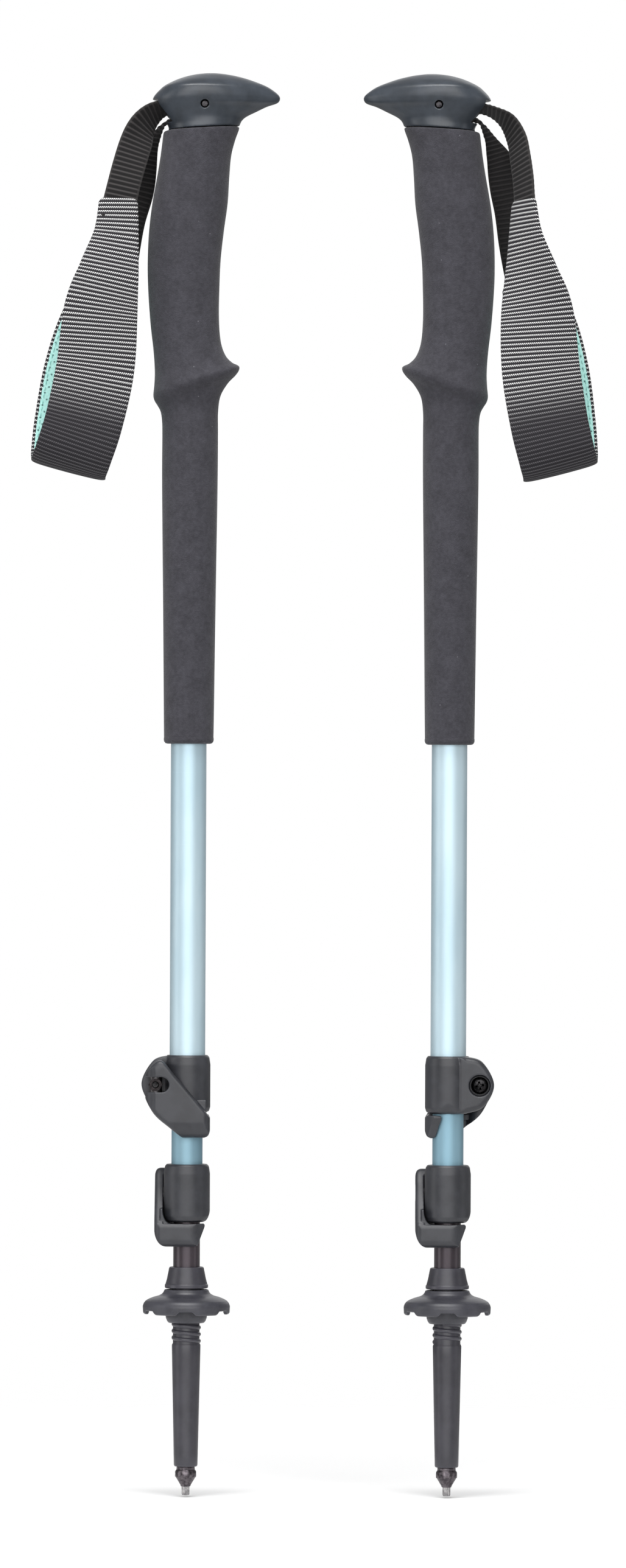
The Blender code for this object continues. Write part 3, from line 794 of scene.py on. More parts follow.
@dataclass(frozen=True)
class ClosedCellFoam(Finish):
    """Matt closed-cell foam: mottled and finely pitted, with painted shade in the pits and a few
    pale specks of lint.
    """

    dark: Colour
    light: Colour
    pit_shade: Colour = tint(34, 34, 36)
    lint: Colour = tint(190, 190, 196)
    cell: float = 0.00055
    broad_size: float = 0.007
    mottle_size: float = 0.0016
    lint_gap: float = 0.0085
    depth: float = 0.00016

    def paint(self, kit: Kit) -> None:
        """Wire the material's nodes.

        Args:
            kit: Tree of the new material.
        """
        place = kit.place()
        broad = kit.noise(place, self.broad_size, 5.0, 0.68)
        mottle = kit.noise(place, self.mottle_size, 3.0, 0.6)
        pits = kit.cells(place, self.cell).between(0.1, 0.75)
        lint = kit.cells(place, self.lint_gap).between(0.022, 0.04, 1.0, 0.0)
        shade = broad.between(0.3, 0.7) * 0.55 + mottle.between(0.3, 0.7) * 0.45
        colour = kit.mix(shade, self.dark, self.light)
        # Darken the sunken pits with painted shade.
        colour = kit.mix(pits * 0.22, colour, self.pit_shade)
        colour = kit.mix(lint * 0.2, colour, self.lint)
        height = mottle * 0.5 + broad * 0.5 - pits * 0.5
        kit.dress(colour, 0.93 - mottle * 0.16, height, self.depth, Sheen_Weight=0.12,
                  Sheen_Roughness=0.5, Specular_IOR_Level=0.32)


@dataclass(frozen=True)
class AnodisedTube(Finish):
    """Drawn tube, anodised and brushed along its length, with rings where it slides."""

    dark: Colour
    light: Colour
    roughness: float = 0.3
    metallic: float = 0.9
    coat: float = 0.2
    rings: float = 0.15
    brush_size: float = 0.00022
    cloud_size: float = 0.012
    ring_size: float = 0.0006
    depth: float = 0.000002

    def paint(self, kit: Kit) -> None:
        """Wire the material's nodes.

        Args:
            kit: Tree of the new material.
        """
        place = kit.place()
        lengthwise, cloudy = (kit.stretched(place, (1.0, 1.0, share)) for share in (0.012, 0.2))
        brush = kit.noise(lengthwise, self.brush_size, 3.0, 0.7)
        cloud = kit.noise(cloudy, self.cloud_size, 3.0)
        ring = kit.noise(kit.stretched(place, (0.02, 0.02, 1.0)), self.ring_size, 4.0, 0.75)
        ring = ring.between(0.6, 0.78)
        colour = kit.mix(cloud.between(0.3, 0.7) * 0.6 + brush * 0.4, self.dark, self.light)
        colour = kit.mix(ring * self.rings, colour, paler(self.light, 1.35, 0.02))
        roughness = brush * 0.1 + cloud * 0.06 + ring * 0.05 + (self.roughness - 0.08)
        kit.dress(colour, roughness, brush, self.depth, Metallic=self.metallic,
                  Coat_Weight=self.coat, Coat_Roughness=0.18)


@dataclass(frozen=True)
class TurnedMetal(Finish):
    """Small steel or carbide part with a worn, lightly pitted surface."""

    dark: Colour
    light: Colour
    roughness: float = 0.32
    grain: float = 0.0004
    depth: float = 0.00001
    wear_size: float = 0.0018

    def paint(self, kit: Kit) -> None:
        """Wire the material's nodes.

        Args:
            kit: Tree of the new material.
        """
        place = kit.place()
        wear = kit.noise(place, self.wear_size, 4.0, 0.65)
        grain = kit.noise(place, self.grain, 2.0)
        colour = kit.mix(wear.between(0.35, 0.68), self.dark, self.light)
        kit.dress(colour, wear * 0.25 + grain * 0.12 + (self.roughness - 0.16),
                  grain + wear * 0.5, self.depth, Metallic=1.0)


@dataclass(frozen=True)
class RibbedWebbing(Finish):
    """Black nylon webbing with cross ribs, twisted yarn and a plain selvedge, the rib crests
    lightened as a painted highlight.

    The pitch, width, twist and warp are in millimetres of the strap.
    """

    pitch: float = 2.2
    width: float = 16.0
    twist: tuple[float, float] = (1.6, 2.4)
    warp: float = 0.75
    selvedge: tuple[float, float] = (1.1, 0.6)
    ground: Colour = tint(16, 14, 15)
    crest: Colour = tint(56, 52, 52)
    edging: Colour = tint(96, 92, 90)
    fuzz_size: float = 0.0005
    depth: float = 0.00022

    def paint(self, kit: Kit) -> None:
        """Wire the material's nodes.

        Args:
            kit: Tree of the new material.
        """
        across, along = kit.strap()
        fuzz = kit.noise(kit.place(), self.fuzz_size, 3.0, 0.7)
        crest = (along * (math.tau / self.pitch)).sine() * 0.5 + 0.5
        yarn = ((across * self.twist[0] + along * self.twist[1]) * math.tau).sine() * 0.5 + 0.5
        warp = (across * (math.tau / self.warp)).sine() * 0.5 + 0.5
        edge = abs(across).between(*(self.width / 2 - inside for inside in self.selvedge))
        crest = crest.between(0.45, 0.95) * (1 - edge * 0.7)
        # Rib crests are painted lighter: a painted highlight.
        pale = crest * (0.45 + 0.55 * fuzz) * (0.6 + 0.4 * yarn)
        colour = kit.mix(pale, self.ground, self.crest)
        colour = kit.mix(edge * yarn * 0.25, colour, self.edging)
        height = crest * 0.55 + yarn * 0.25 + warp * 0.12 + fuzz * 0.2
        kit.dress(colour, 0.9 - crest * 0.22, height, self.depth, Sheen_Weight=0.1,
                  Sheen_Roughness=0.4, Specular_IOR_Level=0.4)


@dataclass(frozen=True)
class DottedWeave(Finish):
    """Two-tone band: rows of pale knots on black, the knots dimmed round the band's middle, at the
    bottom of the loop, as painted shade.

    Each row holds a long knot and, half a step on, a shorter and dimmer one. The middle, row,
    dot and fade are in millimetres of the strap.
    """

    middle: float
    row: float = 1.84
    dot: float = 0.92
    fade: tuple[float, float] = (13.0, 36.0)
    knot: Colour = tint(240, 240, 240)
    shaded_knot: Colour = tint(98, 96, 100)
    ground: tuple[Colour, Colour] = (tint(15, 13, 17), tint(36, 34, 39))
    fuzz_size: float = 0.0004
    depth: float = 0.0002

    def paint(self, kit: Kit) -> None:
        """Wire the material's nodes.

        Args:
            kit: Tree of the new material.
        """
        across, along = kit.strap()
        fuzz = kit.noise(kit.place(), self.fuzz_size, 2.0, 0.6)
        lane = (along / self.row).fraction()
        number = (along / self.row).floor()
        knot = (across / self.dot + number * 0.5).fraction()
        second = (across / self.dot + number * 0.5 + 0.5).fraction()
        upper = lane.between(0.06, 0.16) * lane.between(0.3, 0.4, 1.0, 0.0) \
            * knot.between(0.08, 0.22) * knot.between(0.7, 0.88, 1.0, 0.0)
        lower = lane.between(0.26, 0.36) * lane.between(0.5, 0.6, 1.0, 0.0) \
            * second.between(0.25, 0.4) * second.between(0.7, 0.85, 1.0, 0.0)
        knots = kit.maths("MAXIMUM", upper, lower * 0.6)
        # Dim the knots round the bottom of the loop: painted shade.
        pale = kit.mix(abs(along - self.middle).between(*self.fade), self.shaded_knot, self.knot)
        colour = kit.mix(knots * (0.8 + 0.25 * fuzz), kit.mix(fuzz, *self.ground), pale)
        ribs = (knot - 0.5) * (knot - 0.5) * -2.0 + 0.5
        height = knots * 0.7 + ribs * 0.3 + fuzz * 0.15
        kit.dress(colour, 0.86 - knots * 0.12, height, self.depth, Sheen_Weight=0.08,
                  Sheen_Roughness=0.4, Specular_IOR_Level=0.35)


@dataclass(frozen=True)
class MeshLining(Finish):
    """Soft mint lining, knitted, with a staggered grid of tiny holes darkened with painted shade.
    """

    pitch: float = 2.8
    knit: float = 3.0
    yarn: tuple[Colour, Colour] = (tint(150, 203, 196), tint(184, 226, 220))
    shaded_hole: Colour = tint(58, 92, 92)
    fuzz_size: float = 0.0005
    depth: float = 0.0002

    def paint(self, kit: Kit) -> None:
        """Wire the material's nodes.

        Args:
            kit: Tree of the new material.
        """
        across, along = kit.strap()
        fuzz = kit.noise(kit.place(), self.fuzz_size, 3.0, 0.7)
        step = (along / self.pitch).floor() * 0.5
        east = (across / self.pitch + step).fraction() - 0.5
        north = (along / self.pitch).fraction() - 0.5
        shaded_hole = (east * east + north * north).between(0.012, 0.03, 1.0, 0.0)
        knit = ((across * self.knit).sine() * (along * self.knit).sine()) * 0.5 + 0.5
        colour = kit.mix(fuzz * 0.6 + knit * 0.4, *self.yarn)
        # Darken the holes with painted shade.
        colour = kit.mix(shaded_hole * 0.85, colour, self.shaded_hole)
        kit.dress(colour, 0.92 - knit * 0.08, knit * 0.3 + fuzz * 0.4 - shaded_hole * 0.9, self.depth,
                  Sheen_Weight=0.2, Sheen_Roughness=0.5)


def mark_rims(mesh: bpy.types.Mesh) -> bpy.types.Mesh:
    """Store how strongly each point stands out, as the attribute "rim".

    Args:
        mesh: A closed mesh, which is changed.

    Returns:
        The same mesh.
    """
    count = len(mesh.vertices)
    points, normals = np.empty(count * 3), np.empty(count * 3)
    ends = np.empty(len(mesh.edges) * 2, dtype=np.int64)
    mesh.vertices.foreach_get("co", points)
    mesh.vertices.foreach_get("normal", normals)
    mesh.edges.foreach_get("vertices", ends)
    points, normals, ends = points.reshape(-1, 3), normals.reshape(-1, 3), ends.reshape(-1, 2)
    total, number = np.zeros(count), np.zeros(count)
    for here, there in ((ends[:, 0], ends[:, 1]), (ends[:, 1], ends[:, 0])):
        run = points[there] - points[here]
        run /= np.maximum(np.linalg.norm(run, axis=1), 1e-9)[:, None]
        np.add.at(total, here, -(run * normals[here]).sum(axis=1))
        np.add.at(number, here, 1.0)
    layer = mesh.attributes.get("rim") or mesh.attributes.new("rim", "FLOAT", "POINT")
    standing = np.clip(total / np.maximum(number, 1.0) * RIM_GAIN, 0, 1)
    layer.data.foreach_set("value", standing.astype(np.float32))
    return mesh


# ---------------------------------------------------------------- shafts

@dataclass
class Shafts:
    """The three telescoping tubes of a pole and the plugs that guide them.

    Each tube is given by its radius, low end and high end.
    """

    wall: float = 0.7
    gap: float = 0.3
    upper: Point = (8.0, 174.3, 612.0)
    middle: Point = (7.0, 125.3, 534.0)
    lower: Point = (6.0, 95.6, 478.0)
    slit: Point = (1.6, 22.0)
    edge: float = 0.2
    spans: int = 24
    flange: float = 3.0
    stem: float = 12.0
    groove: Rows = ((0.0, 1.2), (0.25, 1.4), (0.25, 1.7), (0.0, 1.9))
    upper_finish: Finish = AnodisedTube(
        "ice_blue_anodised", "upper_alloy", tint(170, 194, 205), tint(192, 211, 219),
        roughness=0.5, metallic=0.62, coat=0.0)
    middle_finish: Finish = AnodisedTube(
        "aqua_anodised", "middle_alloy", tint(118, 152, 168), tint(138, 170, 183),
        roughness=0.5, metallic=0.6, coat=0.0)
    lower_finish: Finish = AnodisedTube(
        "smoke_anodised", "lower_alloy", tint(50, 43, 48), tint(73, 65, 71),
        roughness=0.34, metallic=0.6, coat=0.3)
    bush_finish: Finish = MouldedPlastic(
        "bush_nylon", "bush_plastic", tint(30, 30, 33), tint(52, 52, 56))

    def tube(self, size: Point, slit_yaw: float | None) -> bpy.types.Mesh:
        """Make a thin tube with softened ends. Its clamped end is slit for the collar.

        Args:
            size: Radius, low end and high end.
            slit_yaw: Turn of the slit about the axis in degrees, or None for no slit.

        Returns:
            The mesh.
        """
        radius, low, high = size
        inner, edge = radius - self.wall, self.edge
        rows = [low + edge + (high - low - 2 * edge) * k / self.spans
                for k in range(self.spans + 1)]
        outline = [(inner, low), (radius - edge, low)] + [(radius, z) for z in rows] \
            + [(radius - edge, high), (inner, high)] + [(inner, z) for z in rows[::-1]]
        mesh = turned("tube", outline)
        if slit_yaw is not None:
            width, length = self.slit
            notch = block((-radius - 2, -width / 2, low - 1), (0, width / 2, low + length))
            mesh = boolean(mesh, [moved(notch, about_axis(slit_yaw))], "DIFFERENCE")
        return mesh

    def bush(self, radius: float, top: float) -> bpy.types.Mesh:
        """Make the plug on a tube's upper end: a grooved flange and a stem in the tube.

        Args:
            radius: Outer radius of the tube that it guides.
            top: Height of that tube's end.

        Returns:
            The mesh.
        """
        inner, foot = radius - self.wall - self.gap, top - self.stem
        low, high = top + self.gap, top + self.gap + self.flange
        reach, edge = radius + self.gap, 0.3
        outline = [(0, foot), (inner - 0.5, foot), (inner, foot + 0.8), (inner, low),
                   (reach - edge, low), (reach, low + edge)]
        outline += [(reach - depth, low + rise) for depth, rise in self.groove]
        outline += [(reach, high - edge), (reach - edge, high), (0, high)]
        return turned("bush", outline, closed=False)

    def dress(self, pole: Pole) -> None:
        """Build and hang the tubes and plugs of one pole.

        Args:
            pole: The pole.
        """
        tubes = {"upper": (self.upper, 0.0, self.upper_finish),
                 "middle": (self.middle, pole.lower_yaw, self.middle_finish),
                 "lower": (self.lower, None, self.lower_finish)}
        for level, (size, slit_yaw, finish) in tubes.items():
            name = f"{level}_shaft"
            hang(name, self.tube(size, slit_yaw), pole, level, finish, [name])
        for level, size in (("middle", self.middle), ("lower", self.lower)):
            mesh = mark_rims(self.bush(size[0], size[2]))
            hang(f"{level}_bush", mesh, pole, level, self.bush_finish, [f"{level}_bush"])


# ---------------------------------------------------------------- grip and head

@dataclass
class Grip:
    """The foam handle, the hard head with its beak, and the pin and wedge that hold the strap.

    A row is a section's height, slope, back, front and half width, and how much its front narrows.
    """

    foam_rows: Points = field(default_factory=lambda: [
        (338.5, 0, -9.6, 9.6, 9.6), (338.8, 0, -10.5, 10.5, 10.5), (339.6, 0, -11.1, 11.1, 11.1),
        (340.8, 0, -11.25, 11.25, 11.25), (342.0, 0, -11.05, 11.05, 11.05),
        (344.5, 0, -11.2, 11.2, 11.2),
        (399, 0, -11.8, 11.8, 11.8), (454, 0, -12.5, 12.5, 12.5), (478, 0, -12.5, 12.6, 12.5),
        (486, .14, -12.7, 12.6, 12.3), (491.5, .26, -13.3, 13.6, 12.4),
        (495.3, .32, -14.6, 16.7, 13.2), (497.7, .33, -15.8, 20.2, 15.0),
        (499.4, .33, -16.4, 21.8, 16.2), (501.0, .33, -16.6, 22.1, 16.6),
        (502.4, .32, -16.5, 21.2, 16.4), (505.0, .29, -16.2, 18.7, 15.6),
        (510, .24, -16.0, 15.7, 14.5),
        (518, .16, -16.6, 13.6, 13.7), (530, .08, -18.1, 12.8, 13.5), (545, .03, -19.2, 13.0, 13.8),
        (557, 0, -19.4, 13.5, 14.0), (570, 0, -18.8, 14.9, 14.1), (582, 0, -17.4, 16.5, 14.2),
        (594, 0, -15.3, 17.2, 14.3), (603, .02, -13.9, 18.0, 14.5), (609.5, .04, -13.1, 19.7, 14.7),
        (614.2, .06, -12.5, 21.5, 14.9), (615.1, .06, -11.6, 21.1, 14.5)])
    head_rows: Points = field(default_factory=lambda: [
        (615.6, .06, -10.4, 21.6, 14.3, .08), (616.4, .06, -10.2, 22.0, 14.4, .085),
        (618.2, .05, -11.0, 22.8, 14.3, .10), (620.6, .02, -13.0, 24.8, 14.5, .16),
        (623.2, 0, -15.0, 29, 15.1, .25),
        (625.6, 0, -16.7, 34, 15.6, .33), (627.2, 0, -17.3, 38.6, 16.0, .39),
        (628.9, 0, -17.4, 39.9, 16.4, .42), (630.6, 0, -16.5, 39.5, 16.7, .42),
        (632.6, 0, -14.7, 37.3, 16.8, .42), (634.8, 0, -12.2, 33.8, 16.2, .42),
        (636.9, 0, -8.3, 28.6, 13.2, .38), (638.6, 0, -4, 23.3, 9.4, .31),
        (639.9, 0, 1, 17.4, 5.7, .20),
        (640.6, 0, 6, 12, 2, 0)])
    foam_fullness: float = 0.93
    head_fullness: float = 0.97
    bore: float = 8.3
    bore_heights: Point = (615.5, 500.0, 338.5)
    stem_radius: float = 7.0
    stem_heights: tuple[float, float] = (585.0, 620.0)
    softening: Softening = (0.34, 4, 0.42)
    pocket: tuple[Point, Point] = ((-5, -10.2, 618.8), (11, 10.2, 631.6))
    mouth: tuple[Point, Point] = ((-25, -9.0, 618.4), (-4, 9.0, 628.6))
    pin: Point = (6.2, 626.0, 1.6, 14.6)
    pin_hole: float = 1.9
    foam_finish: Finish = ClosedCellFoam(
        "grip_eva_foam", "grip_foam", tint(45, 44, 50), tint(64, 63, 70))
    head_finish: Finish = MouldedPlastic(
        "head_nylon", "head_plastic", tint(37, 42, 48), tint(54, 60, 68),
        roughness=0.38, rim_wear_and_highlight=0.3, coat=0.1)
    pin_finish: Finish = TurnedMetal(
        "pin_steel", "black_steel", tint(34, 33, 35), tint(72, 70, 72))
    wedge_finish: Finish = MouldedPlastic(
        "wedge_nylon", "lock_plastic", tint(40, 40, 43), tint(60, 60, 64))

    def oval(self, row: Point, sides: int, fullness: float) -> Points:
        """Draw one section: an oval between back and front.

        Args:
            row: Height, slope, back, front, half width and how much the front narrows.
            sides: Points around.
            fullness: Power of the oval. One is an ellipse and less is fuller.

        Returns:
            The ring of points.
        """
        height, slope, back, front, half, narrow = (*row, 0.0)[:6]
        middle, reach = (back + front) / 2, (front - back) / 2
        ring = []
        for k in range(sides):
            c, s = math.cos(math.tau * k / sides), math.sin(math.tau * k / sides)
            x = middle + reach * math.copysign(abs(c) ** fullness, c)
            y = half * math.copysign(abs(s) ** fullness, s) * (1 - narrow * c)
            ring.append((x, y, height + slope * x))
        return ring

    def foam(self) -> bpy.types.Mesh:
        """Make the foam: shaped hand grip with a finger flare, and a plain lower sleeve.

        Returns:
            The mesh, bored for the shaft.
        """
        outer = [self.oval(row, ROUND, self.foam_fullness)
                 for row in smooth_path(self.foam_rows, 7)]
        turns = [math.tau * k / ROUND for k in range(ROUND)]
        bore = [[(self.bore * math.cos(turn), self.bore * math.sin(turn), height)
                 for turn in turns] for height in self.bore_heights]
        return skinned("foam", outer + bore, tube=True)

    @property
    def across(self) -> Matrix:
        """Turns a piece drawn along Z onto the pin's axis."""
        spot = Matrix.Translation((self.pin[0], 0, self.pin[1]))
        return spot @ Matrix.Rotation(math.radians(90), 4, "X")

    def head(self) -> bpy.types.Mesh:
        """Make the hard head: dome, beak, the mouth for the strap and a stem in the shaft.

        Returns:
            The mesh, with its rims marked.
        """
        rings = [self.oval(row, ROUND, self.head_fullness)
                 for row in smooth_path(self.head_rows, 6)]
        foot, top = self.stem_heights
        radius = self.stem_radius
        stem = turned("stem", [(0, foot), (radius - 0.8, foot), (radius, foot + 1.2),
                               (radius, top), (0, top)], closed=False)
        body = boolean(skinned("head", rings), [stem], "UNION")
        cuts = [block(*self.mouth), block(*self.pocket),
                rod(self.pin_hole, -30, 30, 48, self.across)]
        return mark_rims(moulded(boolean(body, cuts, "DIFFERENCE"), *self.softening))

    def strap_pin(self) -> bpy.types.Mesh:
        """Make the pin across the head, with domed ends.

        Returns:
            The mesh.
        """
        radius, half = self.pin[2:]
        dome = 0.4
        outline = [(0, -half)] + [
            (radius - dome + dome * math.sin(a), -half + dome * (1 - math.cos(a)))
            for a in (0.0, 0.5, 1.0, 1.57)]
        outline += [(r, -h) for r, h in outline[::-1]]
        mesh = turned("pin", outline, 48, closed=False)
        mesh.transform(self.across)
        return mesh

    def dress(self, pole: Pole) -> None:
        """Build and hang the handle of one pole.

        Args:
            pole: The pole.
        """
        hang("foam_grip", self.foam(), pole, "upper", self.foam_finish, ["foam_grip"], 60)
        hang("head_cap", self.head(), pole, "upper", self.head_finish, ["head_cap"], 55)
        hang("strap_pin", self.strap_pin(), pole, "upper", self.pin_finish, ["strap_pin"])
        wedge = frame["nodes"][pole.node("strap_wedge")]
        wedge.data.materials.clear()
        wedge.data.materials.append(self.wedge_finish.material)
        LOG.info("%s keeps its shape and gets %s", wedge.name, self.wedge_finish.name)


# ---------------------------------------------------------------- lever locks

@dataclass
class LeverLock:
    """A lever lock: split collar, cam lever, cross barrel, tension screw and hexagon nut.

    Heights are from the collar's lower face. The lever's plate lies on the -Y side.
    """

    level: str
    body: str
    bottom: float
    tube: float
    inner: float
    height: float = 26.0
    radius: float = 10.4
    lip: float = 1.4
    gap: float = 0.3
    sleeve_foot: Rows = ((2.2, 0), (0.6, 0.8), (0, 2.6))
    sleeve_top: Rows = ((0, 4.2), (0.5, 1.0), (1.3, 0))
    ear_reach: float = 20.6
    ear_edge: Rows = ((-8.0, 25.7), (-15.4, 23.3), (-20.6, 13.2), (-16.0, 3.4), (-8.0, 0.3))
    ear_root: float = -4.0
    ear_faces: tuple[float, float] = (-4.2, 9.4)
    ear_rims: tuple[float, float] = (0.9, 2.4)
    ear_gap: float = 1.6
    pivot: Point = (-14.1, -9.4, 12.9)
    cam: tuple[float, float] = (4.9, 0.25)
    plate: tuple[float, float] = (-14.5, -10.75)
    plate_back: float = 5.0
    plate_toe: Rows = ((7.4, -11.2), (9.6, -10.2), (10.3, -8.4), (10.3, -2.2))
    plate_edge: Rows = ((8.8, .4), (-4.8, 16.4), (-12.6, 23.8), (-20.1, 13.4), (-15.6, .8),
                          (-7.4, -6.8), (-1.7, -11.2))
    bevel_rows: Rows = ((0.83, 0.0), (0.88, 0.1), (0.925, 0.35), (0.96, 0.8), (0.985, 1.45),
                          (1.0, 2.4))
    bevel_centre: Point = (-5.0, 5.0)
    corner: float = 3.6
    round_foot: tuple[float, float] = (3.2, 6.5)
    hook: tuple[float, float] = (-11.0, -0.7)
    hook_tip: float = 8.0
    web_span: tuple[float, float] = (-9.0, 8.6)
    web_drop: float = 0.45
    envelope_foot: tuple[float, float] = (5.5, 8.0)
    envelope_crown: Point = (2.8, 4.0, 20.2)
    envelope_inside: Rows = ((4.9, -10.5), (5.5, -9.2), (8.1, -2.2), (8.2, -1.2), (7.4, -0.5),
                               (7.4, 24.2))
    slot: tuple[float, float] = (3.4, -8.0)
    barrel: tuple[float, float] = (2.9, 7.8)
    screw: tuple[float, float] = (1.5, 3.9)
    screw_heights: tuple[float, float] = (5.3, 8.0)
    recess: float = 4.9
    nut: Point = (5.5, -13.7, -12.3)
    softening: Softening = (0.27, 5, 0.32)
    far: float = 30.0
    finish: Finish = MouldedPlastic(
        "lock_nylon", "lock_plastic", tint(33, 34, 38), tint(48, 49, 54),
        roughness=0.42, rim_wear_and_highlight=0.5)
    screw_finish: Finish = TurnedMetal(
        "screw_black_oxide", "black_steel", tint(18, 18, 19), tint(58, 57, 58), roughness=0.26)
    nut_finish: Finish = TurnedMetal(
        "nut_black_oxide", "black_steel", tint(28, 26, 27), tint(58, 54, 55),
        roughness=0.45, depth=0.000003)
    barrel_finish: Finish = TurnedMetal(
        "barrel_steel", "bright_steel", tint(62, 61, 63), tint(104, 102, 103))

    @property
    def across(self) -> Matrix:
        """Turns a piece drawn along Z onto the screw's axis."""
        spot = Matrix.Translation((self.pivot[0], 0, self.pivot[2]))
        return spot @ Matrix.Rotation(math.radians(-90), 4, "X")

    def profile(self, name: str, outline: Points) -> bpy.types.Mesh:
        """A prism along X, past the lock's both ends, on a (y, z) outline."""
        return skinned(name, [[(x, y, z) for y, z in outline] for x in (-self.far, self.far)])

    def collar(self) -> bpy.types.Mesh:
        """Make the round sleeve with two ears, bored, slit and recessed for the screw.

        Returns:
            The mesh, with its rims marked.
        """
        edge, top = self.radius, self.height
        ear = smooth_path(self.ear_edge, 8)
        ear += [(self.ear_root, ear[-1][1]), (self.ear_root, ear[0][1])]
        ears = slab(ear, *self.ear_faces, self.ear_rims, Plane.FRONT)
        sleeve = turned("sleeve", [(0, 0)] + [(edge - r, z) for r, z in self.sleeve_foot]
                        + [(edge - r, top - z) for r, z in self.sleeve_top] + [(0, top)],
                        closed=False)
        lip = self.inner + self.gap + 0.05
        bore = self.tube + self.gap
        cuts = [rod(self.screw[0] + self.gap, -15, 15, 32, self.across),
                rod(self.recess, self.screw_heights[0] - self.gap, 15, 64, self.across),
                turned("bore", [(0, -5), (lip, -5), (lip, self.lip), (bore, self.lip),
                                (bore, top + 5), (0, top + 5)], closed=False),
                block((-self.ear_reach - 5, -self.ear_gap / 2, -5),
                      (-2, self.ear_gap / 2, top + 5))]
        width, rise = self.round_foot
        side = [(edge + 0.1, top + 1)]
        side += [(edge + 0.1 - width * (1 - math.cos(a)), rise * (1 - math.sin(a)))
                 for a in angles_to(90, 10)]
        foot = self.profile("foot", side + [(-y, z) for y, z in side[::-1]])
        solid = boolean(boolean(sleeve, [ears], "UNION"), [foot], "INTERSECT")
        return mark_rims(moulded(boolean(solid, cuts, "DIFFERENCE"), *self.softening))

    def side_view(self) -> Points:
        """The lever's outline from its plate's side."""
        return rounded(self.plate_toe, 1.2, 4, False) + smooth_path(self.plate_edge, 8)

    def lever_plate(self) -> bpy.types.Mesh:
        """Make the bevelled plate with its cam, one solid across the nut's slot.

        Returns:
            The mesh.
        """
        px, py, _ = self.pivot
        reach, lift = self.cam
        outer, inner = self.plate
        middle_x, middle_z = self.bevel_centre
        rings = [[(middle_x + (x - middle_x) * share, outer + level,
                   middle_z + (z - middle_z) * share) for x, z in self.side_view()]
                 for share, level in (*self.bevel_rows, (1.0, self.plate_back - outer))]
        size = self.corner
        top_view = [(self.radius, inner), (px + 5.6, inner)]
        top_view += arc((px, py + lift), reach - lift, 0, 250, 40) + [(px, outer)]
        top_view += arc((self.radius - size, outer + size), size, -90, 0, 12)
        footprint = slab(top_view[::-1], self.hook[0] - 5, self.height, (0, 0), Plane.TOP)
        return boolean(skinned("plate", rings), [footprint], "INTERSECT")

    def lever_web(self) -> bpy.types.Mesh:
        """Make the fillet that joins the plate to the hook under the collar.

        Returns:
            The mesh.
        """
        width, rise = self.round_foot
        inner, drop = self.plate[1], self.web_drop
        curve = [(-self.radius - 0.4 + width * (1 - math.cos(a)), rise * (1 - math.sin(a)) - drop)
                 for a in angles_to(90, 10)]
        outline = [(inner - 1, rise - drop)] + curve + [(curve[-1][0], -3.0), (inner - 1, -3.0)]
        return skinned("web", [[(x, y, z) for y, z in outline] for x in self.web_span])

    def lever_envelope(self) -> bpy.types.Mesh:
        """Make the solid that rounds the lever's foot and crown, seen along X.

        Returns:
            The mesh, a hair outside the plate and the hook so that no faces meet.
        """
        side, low = self.plate[0] - 0.04, self.hook[0] - 0.04
        width, rise = self.envelope_foot
        foot = [(side + width * (1 - math.cos(a)), low + rise * (1 - math.sin(a)))
                for a in angles_to(90, 10)]
        width, rise, start = self.envelope_crown
        crown = [(side + width * (1 - math.sin(a)), start + rise * math.cos(a))
                 for a in angles_to(90, 15)]
        return self.profile("envelope", foot + [(3.6, low), *self.envelope_inside] + crown)

    def lever(self) -> bpy.types.Mesh:
        """Make the plate, two cam knuckles either side of the nut's slot, and the hook.

        Returns:
            The mesh, with its rims marked.
        """
        px, py, pz = self.pivot
        envelope = self.lever_envelope()
        hook = slab(self.hook_outline(), *self.hook, (0, 0), Plane.TOP)
        hook = boolean(hook, [slab(self.side_view(), -20, 15, (0, 0), Plane.FRONT)], "INTERSECT")
        plate, hook = (boolean(piece, [envelope], "INTERSECT")
                       for piece in (self.lever_plate(), hook))
        lever = boolean(plate, [hook, self.lever_web()], "UNION")
        half = self.slot[0]
        middle = self.slot[1] - half
        along = Matrix.Translation((middle, 0, pz)) @ Matrix.Rotation(math.radians(90), 4, "X")
        length = self.barrel[1] + self.gap
        cuts = [block((-self.far, -25, pz - half), (middle, 0, pz + half)),
                rod(half, 0, 25, 48, along),
                rod(self.barrel[0] + self.gap, -length, length, 48,
                    Matrix.Translation(self.pivot))]
        return mark_rims(moulded(boolean(lever, cuts, "DIFFERENCE"), *self.softening))

    def hook_outline(self) -> Points:
        """Draw the hook from above.

        Past the tube's far side its inner face follows a circle about the lever's pivot, so that
        the lever clears the tube as it opens.

        Returns:
            The outline.
        """
        pivot = Vector(self.pivot[:2])
        clear = self.inner + self.gap + 0.1
        reach = pivot.length + clear
        far = math.degrees(math.atan2(-pivot.y, -pivot.x))
        start = math.degrees(math.asin((self.hook_tip - pivot.y) / reach))
        end = math.degrees(math.asin((self.hook_tip + 0.6) / self.radius))
        outer, size = self.plate[0], self.corner
        return [(-4.0, outer)] + arc((self.radius - size, outer + size), size, -90, -6, 12) \
            + arc((0, 0), self.radius, -6, end, 24) \
            + arc(pivot, reach, start, far, 12)[:-1] + arc((0, 0), clear, far, -88, 32) \
            + [(-4.0, -clear - 1.6)]

    def cross_barrel(self) -> bpy.types.Mesh:
        """Make the cross barrel that the lever turns on, drilled for the screw.

        Returns:
            The mesh.
        """
        (radius, half), edge = self.barrel, 0.4
        body = turned("barrel", [(0, -half), (radius - edge, -half), (radius, -half + edge),
                                 (radius, half - edge), (radius - edge, half), (0, half)],
                      64, closed=False)
        body.transform(Matrix.Translation(self.pivot))
        drill = rod(self.screw[0] + self.gap, -20, 5, 32, self.across)
        return boolean(body, [drill], "DIFFERENCE")

